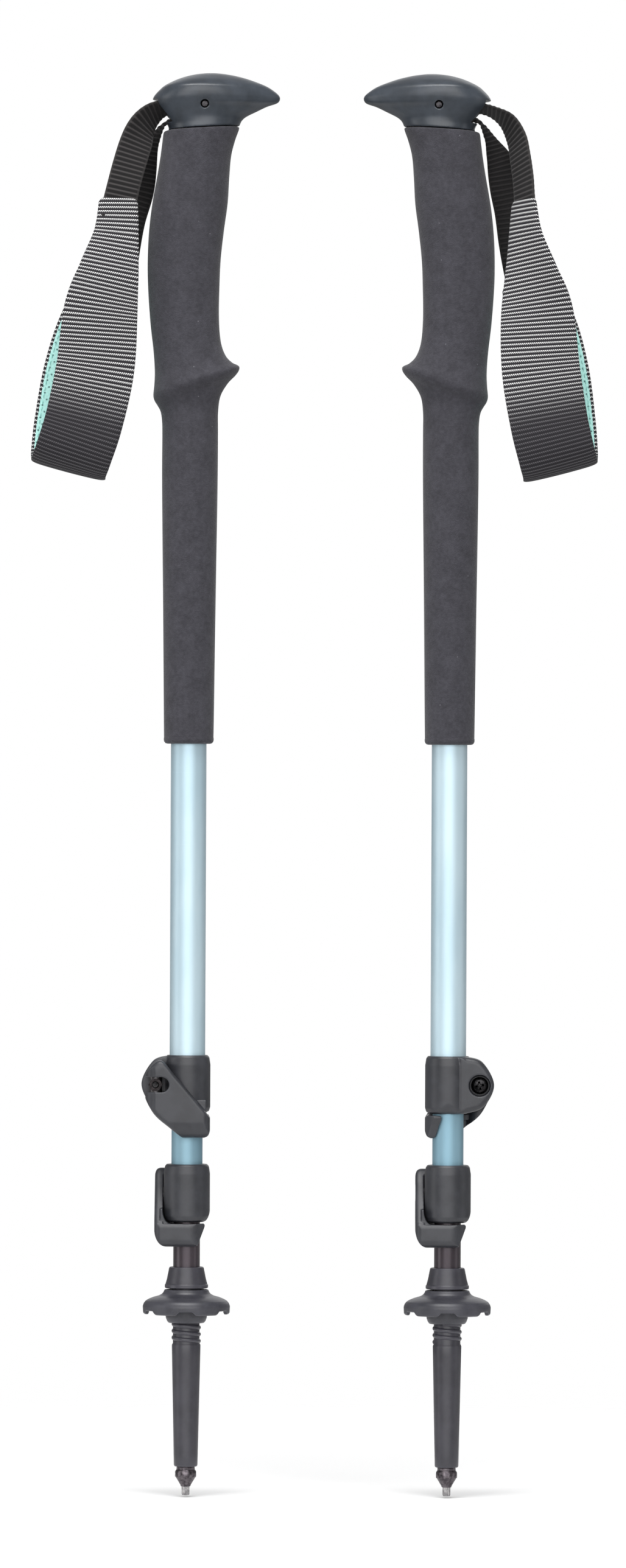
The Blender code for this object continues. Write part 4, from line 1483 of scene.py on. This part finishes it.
    def tension_screw(self) -> bpy.types.Mesh:
        """Make the pan head with a tapered cross recess, on a threaded shank.

        Returns:
            The mesh.
        """
        shank, head = self.screw
        seat, crown = self.screw_heights
        start = self.nut[1] - 0.3
        outline: Points = [(0, start), (shank - 0.4, start), (shank, start + 0.4)]
        outline += [(shank, seat), (head, seat)]
        rim, dome = seat + 0.9, 2.4
        outline += [(head - dome * (1 - math.cos(a)), rim + (crown - seat - 0.9) * math.sin(a))
                    for a in angles_to(80, 10)] + [(0, crown)]
        body = turned("screw", outline, 64, closed=False)
        mouth, floor = (2.1, 0.5, crown + 0.2), (0.9, 0.32, seat + 0.7)
        arm = skinned("cross", [[(-half, -thick, z), (half, -thick, z), (half, thick, z),
                                 (-half, thick, z)] for half, thick, z in (mouth, floor)])
        cuts = [moved(arm, about_axis(angle)) for angle in (12, 102)]
        cuts.append(turned("dimple", [(0, seat + 0.6), (1.05, crown + 0.2), (0, crown + 0.2)], 32,
                           closed=False))
        body = boolean(body, cuts, "DIFFERENCE")
        body.transform(self.across)
        return body

    def hexagon_nut(self) -> bpy.types.Mesh:
        """Make the chamfered hexagon nut, drilled for the screw.

        Returns:
            The mesh.
        """
        flats, low, high = self.nut
        corner = flats / math.sqrt(3)
        prism = turned("nut", [(0, low), (corner, low), (corner, high), (0, high)], 6,
                       closed=False)
        bevel = turned("bevel", [(0, low - 0.1), (flats / 2, low), (corner + 0.2, low + 0.45),
                                 (corner + 0.2, high + 0.1), (0, high + 0.1)], 64, closed=False)
        body = boolean(boolean(prism, [bevel], "INTERSECT"),
                       [rod(self.screw[0] + 0.1, low - 1, high + 1, 32)], "DIFFERENCE")
        body.transform(self.across)
        return body

    def dress(self, poles: Sequence[Pole], yaws: Sequence[float]) -> None:
        """Build the lock once and hang a copy on each pole.

        Args:
            poles: The poles.
            yaws: Turn of the lock about each pole's axis, in degrees.
        """
        lever = f"{self.level}_lever"
        parts = {"lock_collar": (self.collar(), self.body, self.finish, 50),
                 "lock_lever": (self.lever(), lever, self.finish, 50),
                 "lock_barrel": (self.cross_barrel(), self.body, self.barrel_finish, 35),
                 "lock_screw": (self.tension_screw(), f"{self.level}_screw",
                                self.screw_finish, 35),
                 "lock_nut": (self.hexagon_nut(), self.body, self.nut_finish, 25)}
        for pole, yaw in zip(poles, yaws):
            place = about_axis(yaw) @ Matrix.Translation((0, 0, self.bottom))
            for name, (mesh, body, finish, sharp) in parts.items():
                whole = f"{self.level}_{name}"
                hang(whole, moved(mesh, place), pole, body, finish, [whole], sharp)


# ---------------------------------------------------------------- geometry nodes

class Recipe(Nodes):
    """A Geometry Nodes tree with named inputs that grows pieces on a seed mesh."""

    def __init__(self, name: str, inputs: dict[str, str]) -> None:
        """Start a tree.

        Args:
            name: Name of the tree.
            inputs: Socket type of each named input.
        """
        super().__init__(bpy.data.node_groups.new(name, "GeometryNodeTree"))
        face = self.tree.interface
        face.new_socket("Geometry", in_out="INPUT", socket_type="NodeSocketGeometry")
        self.ids = {label: face.new_socket(label, in_out="INPUT", socket_type=kind).identifier
                    for label, kind in inputs.items()}
        face.new_socket("Geometry", in_out="OUTPUT", socket_type="NodeSocketGeometry")
        self.source = self.node("NodeGroupInput")

    def given(self, label: str) -> bpy.types.NodeSocket:
        """Socket of a named input."""
        return self.source.outputs[label]

    def end(self, geometry: bpy.types.NodeSocket) -> "Recipe":
        """Realize the geometry, give it the Finish input and make it the tree's result.

        Args:
            geometry: What the tree has made.

        Returns:
            The recipe itself.
        """
        real = self.node("GeometryNodeRealizeInstances", None, {0: geometry})
        dressed = self.node("GeometryNodeSetMaterial", None,
                            {"Geometry": real.outputs[0], "Material": self.given("Finish")})
        self.node("NodeGroupOutput", None, {0: dressed.outputs[0]})
        return self

    def grow(self, seed: bpy.types.Mesh, values: dict[str, object]) -> bpy.types.Mesh:
        """Run the tree on a mesh.

        Args:
            seed: What it grows on.
            values: Value of each named input.

        Returns:
            The plain mesh that it makes.
        """
        item = loose("seed", seed)
        step = item.modifiers.new("grow", "NODES")
        step.node_group = self.tree
        for label, value in values.items():
            step[self.ids[label]] = value
        return baked(item)


def thread_recipe() -> Recipe:
    """Write the recipe of a round-crested screw thread, wound about Z from its lowest point.

    Returns:
        The recipe.
    """
    recipe = Recipe("screw_thread", {"Radius": "NodeSocketFloat", "Crest": "NodeSocketFloat",
                                     "Turns": "NodeSocketFloat", "Rise": "NodeSocketFloat",
                                     "Bottom": "NodeSocketVector", "Finish": "NodeSocketMaterial"})
    spiral = recipe.node("GeometryNodeCurveSpiral", None, {
        "Resolution": 64, "Rotations": recipe.given("Turns"),
        "Start Radius": recipe.given("Radius"), "End Radius": recipe.given("Radius"),
        "Height": recipe.given("Rise")})
    lifted = recipe.node("GeometryNodeTransform", None,
                         {"Geometry": spiral.outputs[0], "Translation": recipe.given("Bottom")})
    ring = recipe.node("GeometryNodeCurvePrimitiveCircle", None,
                       {"Resolution": 12, "Radius": recipe.given("Crest")})
    tube = recipe.node("GeometryNodeCurveToMesh", None,
                       {"Curve": lifted.outputs[0], "Profile Curve": ring.outputs[0],
                        "Fill Caps": True})
    return recipe.end(tube.outputs[0])


def stitch_recipe() -> Recipe:
    """Write the recipe of short rounded stitches, laid along the edges of the seed mesh.

    Returns:
        The recipe.
    """
    recipe = Recipe("stitches", {"Pitch": "NodeSocketFloat", "Length": "NodeSocketFloat",
                                 "Thread": "NodeSocketFloat", "Finish": "NodeSocketMaterial"})
    line = recipe.node("GeometryNodeMeshToCurve", None, {0: recipe.given("Geometry")})
    points = recipe.node("GeometryNodeCurveToPoints", {"mode": "LENGTH"},
                         {"Curve": line.outputs[0], "Length": recipe.given("Pitch")})
    bead = recipe.node("GeometryNodeMeshUVSphere", None, {"Segments": 6, "Rings": 5, "Radius": 0.5})
    size = recipe.node("ShaderNodeCombineXYZ", None, {
        "X": recipe.given("Thread"), "Y": recipe.given("Thread"), "Z": recipe.given("Length")})
    shaped = recipe.node("GeometryNodeTransform", None,
                         {"Geometry": bead.outputs[0], "Scale": size.outputs[0]})
    laid = recipe.node("GeometryNodeInstanceOnPoints", None,
                       {"Points": points.outputs["Points"], "Instance": shaped.outputs[0],
                        "Rotation": points.outputs["Rotation"]})
    return recipe.end(laid.outputs[0])


# ---------------------------------------------------------------- wrist straps

@dataclass
class Ribbon:
    """A strap's path with the width, turn and thickness of its section."""

    spots: list[Vector]
    across: list[Vector]
    outward: list[Vector]
    widths: list[float]
    runs: list[float]

    @classmethod
    def along(cls, rows: Sequence[Point], spacing: float, outside: float) -> "Ribbon":
        """Walk a path evenly.

        Args:
            rows: Rows of x, y, z, direction across (three parts) and width.
            spacing: Distance between sections.
            outside: 1 or -1, for the side that faces out.

        Returns:
            The ribbon.
        """
        fine = np.array(smooth_path(rows, 24))
        steps = np.linalg.norm(np.diff(fine[:, :3], axis=0), axis=1)
        run = np.concatenate([[0.0], np.cumsum(steps)])
        count = max(2, round(run[-1] / spacing))
        even = np.linspace(0, run[-1], count + 1)
        table = np.stack([np.interp(even, run, fine[:, k]) for k in range(7)], axis=1)
        ways = np.gradient(table[:, :3], axis=0)
        spots, across, outward = [], [], []
        for row, way in zip(table, ways):
            along = Vector(way).normalized()
            side = Vector(row[3:6])
            side = (side - along * side.dot(along)).normalized()
            spots.append(Vector(row[:3]))
            across.append(side)
            outward.append(along.cross(side) * outside)
        return cls(spots, across, outward, list(table[:, 6]), list(even))

    @property
    def length(self) -> float:
        """Length of the path."""
        return self.runs[-1]

    @property
    def area(self) -> float:
        """Flat area of the strap."""
        return sum((a + b) / 2 * (t - s) for a, b, s, t in
                   zip(self.widths, self.widths[1:], self.runs, self.runs[1:]))

    def mesh(self, name: str, layer: tuple[float, float], margin: float,
             relief: Callable[[float, float], float], crown: float,
             around: int) -> bpy.types.Mesh:
        """Skin a layer of the strap, with rounded selvedges and narrowed ends.

        Args:
            name: Name of the mesh.
            layer: Inner and outer face, measured outwards from the path.
            margin: How far its edges stand in from the strap's.
            relief: Height added to a face at a place across (-1 to 1) and along (mm).
            crown: How much the middle bulges outwards.
            around: Points across a face.

        Returns:
            The mesh, with millimetres across and along in its UV map.
        """
        low, high = layer
        taper, taper_run, squareness = 1.6, 2.2, 9
        half_thick, middle = (high - low) / 2, (high + low) / 2
        rings, uvs = [], []
        for spot, side, out, width, run in zip(self.spots, self.across, self.outward,
                                               self.widths, self.runs):
            end = min(run, self.length - run)
            half = width / 2 - margin - taper * max(0.0, 1 - end / taper_run) ** 2
            ring, row = [], []
            for face in (1, -1):
                for k in range(around):
                    a = face * math.cos(math.pi * (k + 0.5) / around)
                    edge = math.sqrt(max(0.0, 1 - abs(a) ** squareness))
                    swell = half_thick * edge + relief(a, run) * edge
                    rise = middle + crown * (1 - a * a) + face * swell
                    ring.append(spot + side * (a * half) + out * rise)
                    row.append((a * half, run))
            rings.append(ring)
            uvs.append(row + row[:1])
        return skinned(name, rings, uvs=uvs)


@dataclass
class WristStrap:
    """The wrist loop: narrow ribbed webbing, a wide woven band and its mint lining.

    A band row is a place (three parts), a width, the dip of that width and its turn on the left
    and on the right pole, in degrees. A leg row is a place, the width's direction (three parts)
    and the width. The front leg and the band's start are on the side that faces the viewer.
    """

    band_rows: Points = field(default_factory=lambda: [
        (-32.4, -14.2, 583.3, 17.6, 2, 10, -55), (-33.2, -15.3, 568.0, 20.4, 3, 8, -45),
        (-36.4, -16.4, 551.0, 27.2, 6, 4, -31), (-40.0, -17.0, 533.0, 33.2, 9, 0, -14),
        (-42.4, -17.2, 507.0, 35.2, 10, 0, -4), (-47.2, -16.8, 484.0, 35.0, 13, 0, 0),
        (-51.8, -13.8, 469.5, 34.6, 14, 0, 0), (-54.2, -7.0, 463.4, 34.5, 14.6, 0, 0),
        (-54.6, 0.0, 462.2, 34.5, 14.6, 0, 0), (-54.8, 7.0, 463.4, 34.5, 14.6, 0, 0),
        (-54.6, 13.8, 469.5, 35.0, 14, 0, 0), (-52.6, 16.8, 484.0, 36.0, 13, 0, 0),
        (-48.2, 17.2, 507.0, 36.5, 10, 0, 0), (-42.6, 17.1, 529.0, 33.0, 8, 0, 6),
        (-35.0, 16.8, 549.0, 24.0, 4, 0, 12)])
    front_leg: dict[str, Points] = field(default_factory=lambda: {
        "left": [(-32.8, -14.7, 573, .98, 0, -.15, 15.5), (-32.0, -14.0, 580, .98, 0, -.15, 15.5),
                 (-30.4, -12.6, 588, .965, 0, -.25, 15), (-27.9, -9.8, 598, .95, 0, -.30, 15),
                 (-25.0, -6.5, 608, .85, .15, -.4, 15), (-22.0, -3.5, 616, .55, .45, -.6, 15),
                 (-17.5, -1.0, 621.8, .25, .75, -.6, 15), (-12.5, -.2, 624.6, 0, .9, -.43, 15)],
        "right": [(-32.8, -14.6, 575, .66, .74, -.1, 16), (-32.4, -13.5, 583, .58, .8, -.15, 15.5),
                  (-31.9, -11.5, 592, .58, .78, -.22, 15), (-30.6, -8.5, 602, .56, .78, -.25, 15),
                  (-28.9, -5.0, 611, .5, .8, -.25, 15), (-25.0, -2.0, 618.6, .35, .85, -.3, 15),
                  (-19.0, -.5, 623.2, .1, .95, -.25, 15), (-13.0, 0, 625.2, 0, .97, -.22, 15)]})
    back_leg: dict[str, Points] = field(default_factory=lambda: {
        "left": [(-9.6, .5, 618.9, 0, .95, .3, 6.0), (-13.6, 1.2, 616.2, .3, .9, .1, 6.0),
                 (-17.4, 3.8, 609, .75, .6, -.1, 6.5), (-21.6, 8.3, 598.5, .96, .2, -.1, 12.4),
                 (-24.3, 11.5, 588, .98, .1, -.12, 14.8), (-28.2, 13.8, 575, .97, 0, -.2, 15),
                 (-30.6, 15.6, 562, .97, 0, -.22, 15), (-32.0, 16.4, 552, .97, 0, -.2, 15),
                 (-34.0, 16.8, 543, .98, 0, -.1, 15)],
        "right": [(-12.0, .8, 619.4, .1, .9, .3, 5), (-16.7, 2.5, 612.6, .7, .6, -.1, 5.5),
                  (-20.2, 6.0, 605.8, .93, .2, -.1, 10), (-23.0, 9.0, 598.5, .97, .1, -.15, 14),
                  (-24.8, 11.5, 589.5, .98, 0, -.15, 15), (-27.0, 13.5, 579, .98, 0, -.1, 15),
                  (-28.8, 15.2, 566, .98, 0, -.05, 15), (-31.0, 16.2, 554, .98, 0, -.05, 15),
                  (-33.4, 16.8, 544, .98, 0, -.05, 15)]})
    inside: Points = field(default_factory=lambda: [
        (-6.0, 0, 625.0, 0, .98, -.2, 14), (-3.0, .4, 623.0, 0, 1, 0, 11),
        (-5.4, .8, 619.9, 0, 1, 0, 6)])
    rib: float = 2.2
    rib_depth: float = 0.17
    row: float = 1.84
    row_depth: float = 0.07
    webbing_finish: Finish = RibbedWebbing("ribbed_nylon_webbing", "webbing", 2.2, 15.0)
    lining_finish: Finish = MeshLining("mint_mesh_lining", "band_weave")
    thread_finish: Finish = MouldedPlastic(
        "lining_thread", "band_weave", tint(96, 158, 150), tint(140, 200, 190), roughness=0.6)
    blend_ends: tuple[Point, Point] = ((-14.5, 0, 624), (-24, 0, 616))
    section_gaps: tuple[float, float] = (0.46, 0.37)
    band_faces: tuple[float, float] = (-0.6, 1.25)
    band_crown: float = 0.4
    lining_faces: tuple[float, float] = (-1.35, -0.35)
    lining_margin: float = 1.3
    lining_crown: float = 0.15
    webbing_faces: tuple[float, float] = (-0.75, 0.75)
    stitch: Point = (3.0, 2.1, 0.34)
    seam: tuple[float, float] = (2.6, 1.38)

    def band(self, pole: Pole) -> Ribbon:
        """Lay the path of the wide band on a pole.

        Args:
            pole: The pole.

        Returns:
            The path.
        """
        x0, rows = self.band_rows[0][0], []
        for x, y, z, width, dip, left, right in self.band_rows:
            turn = math.radians(left if pole.side == "left" else right)
            fall = math.radians(dip)
            rows.append((x0 + (x - x0) * pole.strap_sway, -pole.strap_front * y, z,
                         math.cos(turn) * math.cos(fall),
                         pole.strap_front * math.sin(turn) * math.cos(fall),
                         -math.sin(fall), width))
        return Ribbon.along(rows, self.section_gaps[0], -pole.strap_front)

    def webbing(self, pole: Pole) -> Ribbon:
        """Lay the narrow webbing up the front leg, round inside the head and down the back leg.

        Args:
            pole: The pole.

        Returns:
            The path.
        """
        flip = -pole.strap_front
        rows = self.front_leg[pole.side] + self.inside + self.back_leg[pole.side]
        rows = [(x, flip * y, z, ax, flip * ay, az, width) for x, y, z, ax, ay, az, width in rows]
        return Ribbon.along(rows, self.section_gaps[1], pole.strap_front)

    def seams(self, band: Ribbon) -> bpy.types.Mesh:
        """Draw the two lines on the lining that the stitches follow.

        Args:
            band: Path of the band.

        Returns:
            A mesh of edges.
        """
        inside, depth = self.seam
        lines = [[spot + side * (sign * (width / 2 - inside)) - out * depth
                  for spot, side, out, width in zip(band.spots, band.across, band.outward,
                                                    band.widths)][8:-8:4]
                 for sign in (1, -1)]
        size = len(lines[0])
        mesh = bpy.data.meshes.new("seams")
        mesh.from_pydata([tuple(p) for p in lines[0] + lines[1]],
                         [(k + base, k + base + 1) for base in (0, size)
                          for k in range(size - 1)], [])
        return mesh

    def dress(self, pole: Pole, stitches: Recipe) -> None:
        """Build and hang the wrist loop of one pole.

        Args:
            pole: The pole.
            stitches: Recipe for the lining's stitches.
        """
        band, webbing = self.band(pole), self.webbing(pole)
        weave = DottedWeave(f"{pole.side}_dotted_band_weave", "band_weave", band.length / 2)
        outer = band.mesh("band", self.band_faces, 0.0,
                          lambda a, run: self.row_depth * math.cos(math.tau * run / self.row),
                          self.band_crown, 20)
        lining = band.mesh("lining", self.lining_faces, self.lining_margin,
                           lambda a, run: 0.0, self.lining_crown, 14)
        narrow = webbing.mesh("webbing", self.webbing_faces, 0.0,
                              lambda a, run: self.rib_depth * math.cos(math.tau * run / self.rib),
                              0.0, 12)
        head = pole.node("head_cap_looks")
        cloth = hang("strap_band", outer, pole, "strap", weave, ["strap_band"], 70)
        self.declare(cloth, band, 0.0, [pole.node("strap_webbing_looks")])
        inner = hang("strap_lining", lining, pole, "strap", self.lining_finish, [], 70)
        self.declare(inner, band, self.lining_margin, [cloth.name])
        loop = hang("strap_webbing", narrow, pole, "", self.webbing_finish,
                    ["strap_webbing", "strap_tail"], 70)
        start, end = (pole.place @ Vector(point) for point in self.blend_ends)
        pole.node("upper")
        pole.node("strap")
        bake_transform(loop)
        self.declare(loop, webbing, 0.0, [head])
        pitch, length, thread = self.stitch
        sewn = stitches.grow(self.seams(band), {"Pitch": pitch, "Length": length,
                                                "Thread": thread,
                                                "Finish": self.thread_finish.material})
        hang("lining_stitches", sewn, pole, "strap", self.thread_finish, [], 70)

    @staticmethod
    def declare(item: bpy.types.Object, ribbon: Ribbon, margin: float, rests_on: list[str]) -> None:
        """Work out the width and area of a layer of the strap, and keep neither.

        Args:
            item: The layer's object. Not used.
            ribbon: The path that it follows.
            margin: How far its edges stand in from the strap's.
            rests_on: What it hangs from. Not used.
        """
        width = max(ribbon.widths) - 2 * margin
        area = ribbon.area - 2 * margin * ribbon.length
        width * MM
        area * MM * MM


# ---------------------------------------------------------------- tip and basket

@dataclass
class Tip:
    """The flexible tip, its screw-on basket, the ferrule and the carbide point.

    A row is a radius and a height, and for the point also the depth of its flutes. A notch row is
    a half width and a height.
    """

    thread: Point = (69.4, 3.05, 2.8)
    thread_size: tuple[float, float] = (5.5, 1.12)
    cone: Point = (93.3, 102.9, 9.75, 7.75)
    socket: float = 6.3
    stem: Point = (5.0, 128.0, 2.9)
    basket_rows: Points = field(default_factory=lambda: [
        (7, 77.6), (8.0, 77.6), (8.7, 78.5), (9.25, 80.0), (9.4, 81.5), (9.5, 83.8), (14.6, 84.3),
        (17.5, 84.6), (17.5, 81.6), (19.0, 81.6), (19.5, 82.3), (19.65, 85.2), (19.2, 86.5),
        (18.3, 87.6), (16.9, 88.4), (14.9, 89.2), (12.4, 89.9), (10.9, 90.7), (10.2, 91.7),
        (9.8, 92.7), (7, 92.7)])
    notch: Rows = ((6.2, 80.0), (3.0, 83.3))
    teeth: int = 6
    flutes: int = 10
    point_rows: Points = field(default_factory=lambda: [
        (0.3, 0.35, 0), (1.0, 0.2, 0.1), (1.45, 0, 0.2), (1.65, 0.1, 0.28), (1.86, 0.6, 0.3),
        (1.86, 3.7, 0.3), (1.86, 4.2, 0), (1.5, 4.5, 0), (1.5, 18, 0)])
    taper: tuple[Point, Point] = ((5.35, 13.7), (6.45, 67.5))
    nose: Rows = ((4.7, 12.9), (5.15, 13.1))
    neck: Rows = ((6.3, 68.0), (6.0, 68.5))
    collar_foot: float = 95.1
    notch_span: tuple[float, float] = (15.0, 25.0)
    ferrule_rows: Rows = ((1.95, 3.9), (2.2, 4.0), (2.35, 4.6), (4.4, 8.0), (4.75, 8.3),
                            (4.8, 8.7), (4.75, 10.6), (4.5, 11.1), (4.15, 11.6), (4.15, 12.6),
                            (2.6, 12.6), (2.6, 40.0), (1.95, 40.0))
    softening: Softening = (0.27, 5, 0.35)
    tip_finish: Finish = MouldedPlastic(
        "tip_polymer", "tip_plastic", tint(36, 35, 41), tint(51, 50, 57),
        roughness=0.4, rim_wear_and_highlight=0.4)
    basket_finish: Finish = MouldedPlastic(
        "basket_polymer", "tip_plastic", tint(40, 40, 46), tint(57, 57, 64),
        roughness=0.42, rim_wear_and_highlight=0.5)
    ferrule_finish: Finish = TurnedMetal(
        "ferrule_steel", "black_steel", tint(62, 58, 62), tint(104, 98, 102), roughness=0.3)
    carbide_finish: Finish = TurnedMetal(
        "sintered_carbide", "carbide", tint(128, 126, 128), tint(186, 184, 184),
        roughness=0.5, grain=0.00025, depth=0.00004)

    def body(self, thread: Recipe) -> bpy.types.Mesh:
        """Make the long taper, screw thread, stop cone and the stem inside the lower tube.

        Args:
            thread: Recipe for the screw thread.

        Returns:
            The mesh, with its rims marked.
        """
        low, high, wide, narrow = self.cone
        radius, top, bore = self.stem
        (thin, foot), (thick, end) = self.taper
        taper = [(thin + (thick - thin) * k / 12, foot + (end - foot) * k / 12) for k in range(13)]
        outline = [(bore, self.nose[0][1]), *self.nose, *taper, *self.neck]
        outline += [(self.neck[-1][0], low), (wide - 0.3, low), (wide, low + 0.3),
                    (wide, low + 1.5), (wide - 0.3, low + 1.75), (wide - 0.45, low + 2.3),
                    (8.75, 97.6), (narrow + 0.1, high - 0.7), (narrow - 0.2, high - 0.15),
                    (narrow - 0.6, high), (self.socket, high), (self.socket, self.collar_foot),
                    (radius, self.collar_foot), (radius, top), (bore, top)]
        start, pitch, turns = self.thread
        reach, crest = self.thread_size
        wound = thread.grow(bpy.data.meshes.new("bare"), {
            "Radius": reach, "Crest": crest, "Turns": turns, "Rise": pitch * turns,
            "Bottom": (0, 0, start), "Finish": self.tip_finish.material})
        bm = bmesh.new()
        bm.from_mesh(turned("tip", outline))
        bm.from_mesh(wound)
        joined = bpy.data.meshes.new("tip_body")
        bm.to_mesh(joined)
        bm.free()
        return mark_rims(joined)

    def basket(self) -> bpy.types.Mesh:
        """Make the hub and domed disc, with a rim notched from below.

        Returns:
            The mesh, with its rims marked.
        """
        near, far = self.notch_span
        notch = skinned("notch", [[(near, -half, level), (far, -half, level), (far, half, level),
                                   (near, half, level)] for half, level in self.notch])
        cuts = [moved(notch, about_axis((k + 0.5) * 360.0 / self.teeth))
                for k in range(self.teeth)]
        disc = boolean(turned("basket", self.basket_rows), cuts, "DIFFERENCE")
        return mark_rims(moulded(disc, *self.softening))

    def ferrule(self) -> bpy.types.Mesh:
        """The metal ferrule, with a shank up inside the tip."""
        return turned("ferrule", self.ferrule_rows)

    def point(self) -> bpy.types.Mesh:
        """Make the carbide point: a fluted crown with a shallow dish, and its shank.

        Returns:
            The mesh.
        """
        rings = []
        angles = [math.tau * k / ROUND for k in range(ROUND)]
        for radius, height, depth in self.point_rows:
            rims = [radius - depth * (0.5 + 0.5 * math.cos(self.flutes * a)) for a in angles]
            rings.append([(r * math.cos(a), r * math.sin(a), height)
                          for r, a in zip(rims, angles)])
        return skinned("point", rings)

    def dress(self, poles: Sequence[Pole], thread: Recipe) -> None:
        """Build the tip once and hang a copy on each pole.

        Args:
            poles: The poles.
            thread: Recipe for the screw thread.
        """
        parts = {"flex_tip": (self.body(thread), "lower", self.tip_finish, 35),
                 "basket": (self.basket(), "basket", self.basket_finish, 50),
                 "tip_ferrule": (self.ferrule(), "lower", self.ferrule_finish, 30),
                 "carbide_tip": (self.point(), "lower", self.carbide_finish, 30)}
        for pole in poles:
            for name, (mesh, body, finish, sharp) in parts.items():
                hang(name, mesh, pole, body, finish, [name], sharp)


# ---------------------------------------------------------------- studio

@dataclass
class Studio:
    """Plain pale floor, soft lights and a long-lens camera level with the poles' middle.

    Lengths are in metres. A light is given by its place, its size and its power in watts.
    """

    distance: float = 4.3
    view_height: float = 0.7066
    centre: Point = (0.0, 0.0, 0.3206)
    sensor: float = 36.0
    white: float = 1.0
    ambient: float = 0.3
    roll: float = -0.245
    clip: tuple[float, float] = (0.1, 100.0)
    floor_radius: float = 0.9
    floor_drop: float = 0.001
    floor_fade: float = 0.15
    lights: dict[str, tuple[Point, tuple[float, float], float]] = field(default_factory=lambda: {
        "key": ((-0.1, -2.5, 1.0), (3.2, 2.0), 62.0),
        "left_fill": ((-2.2, -0.5, 0.7), (1.0, 2.0), 11.0),
        "right_fill": ((2.2, -0.3, 0.6), (0.8, 2.0), 4.0),
        "top": ((-0.1, -0.8, 2.3), (1.6, 1.0), 46.0),
        "back": ((0.3, 2.2, 1.2), (2.0, 1.6), 10.0)})

    def camera(self) -> None:
        """The camera, looking along +Y."""
        lens = bpy.data.cameras.new("camera")
        lens.sensor_width = self.sensor
        lens.lens = self.sensor * self.distance / self.view_height
        lens.clip_start, lens.clip_end = self.clip
        camera = bpy.data.objects.new("camera", lens)
        x, y, z = self.centre
        camera.location = (x, y - self.distance, z)
        camera.rotation_euler = (math.radians(90), math.radians(self.roll), 0)
        bpy.context.scene.collection.objects.link(camera)
        bpy.context.scene.camera = camera

    def world(self) -> None:
        """White behind the object and a dimmer even light on it."""
        world = bpy.data.worlds.new("studio")
        world.use_nodes = True
        sky, back = Nodes(world.node_tree), world.node_tree.nodes["Background"]
        path = sky.node("ShaderNodeLightPath")
        level = sky.node("ShaderNodeMapRange", None, {
            "Value": path.outputs["Is Camera Ray"], "To Min": self.ambient,
            "To Max": self.white})
        sky.feed(back.inputs["Strength"], level.outputs["Result"])
        sky.feed(back.inputs["Color"], (1.0, 1.0, 1.0))
        bpy.context.scene.world = world

    def light(self, name: str, spot: Point, size: tuple[float, float], power: float) -> None:
        """A soft area light aimed at the poles' middle.

        Args:
            name: Its name.
            spot: Where it hangs.
            size: Its width and height.
            power: Its power in watts.
        """
        lamp = bpy.data.lights.new(name, "AREA")
        lamp.shape, lamp.size, lamp.size_y, lamp.energy = "RECTANGLE", *size, power
        item = bpy.data.objects.new(name, lamp)
        item.location = spot
        aim = Vector(self.centre) - Vector(spot)
        item.rotation_euler = aim.to_track_quat("-Z", "Y").to_euler()
        item.visible_camera = False
        bpy.context.scene.collection.objects.link(item)

    def floor(self) -> None:
        """A pale floor that fades out round the poles."""
        outline = [(0, -self.floor_drop), (self.floor_radius, -self.floor_drop)]
        floor = loose("floor", turned("floor", outline, closed=False))
        kit = Kit("pale_floor")
        x, y, _ = kit.parts(kit.place())
        away = kit.maths("SQRT", x * x + y * y)
        seen = away.between(self.floor_fade, self.floor_radius - 0.02, 1.0, 0.0)
        kit.feed(kit.shader.inputs["Alpha"], seen)
        cloud = kit.noise(kit.place(), 0.4, 2.0)
        kit.dress(kit.mix(cloud, (0.93, 0.93, 0.93), (0.96, 0.96, 0.96)), 0.9)
        floor.data.materials.append(kit.material)

    def build(self) -> None:
        """Set up the whole studio."""
        bpy.context.scene.view_settings.view_transform = "Standard"
        self.camera()
        self.world()
        for name, (spot, size, power) in self.lights.items():
            self.light(name, spot, size, power)
        self.floor()
        LOG.info("studio: camera %.2f m away", self.distance)


# ---------------------------------------------------------------- all together

def main() -> None:
    """Build the studio, then every sub-assembly of both poles."""
    logging.basicConfig(level=logging.INFO, format="%(name)s: %(message)s")
    Studio().build()
    shafts, grip, strap = Shafts(), Grip(), WristStrap()
    stitches = stitch_recipe()
    for pole in POLES:
        shafts.dress(pole)
        grip.dress(pole)
        strap.dress(pole, stitches)
    upper = LeverLock("upper", "upper", 172.3, shafts.upper[0], shafts.middle[0])
    upper.dress(POLES, (0.0, 0.0))
    lower = LeverLock("lower", "middle", 123.2, shafts.middle[0], shafts.lower[0])
    lower.dress(POLES, [pole.lower_yaw for pole in POLES])
    Tip().dress(POLES, thread_recipe())


if __name__ == "__main__":
    main()
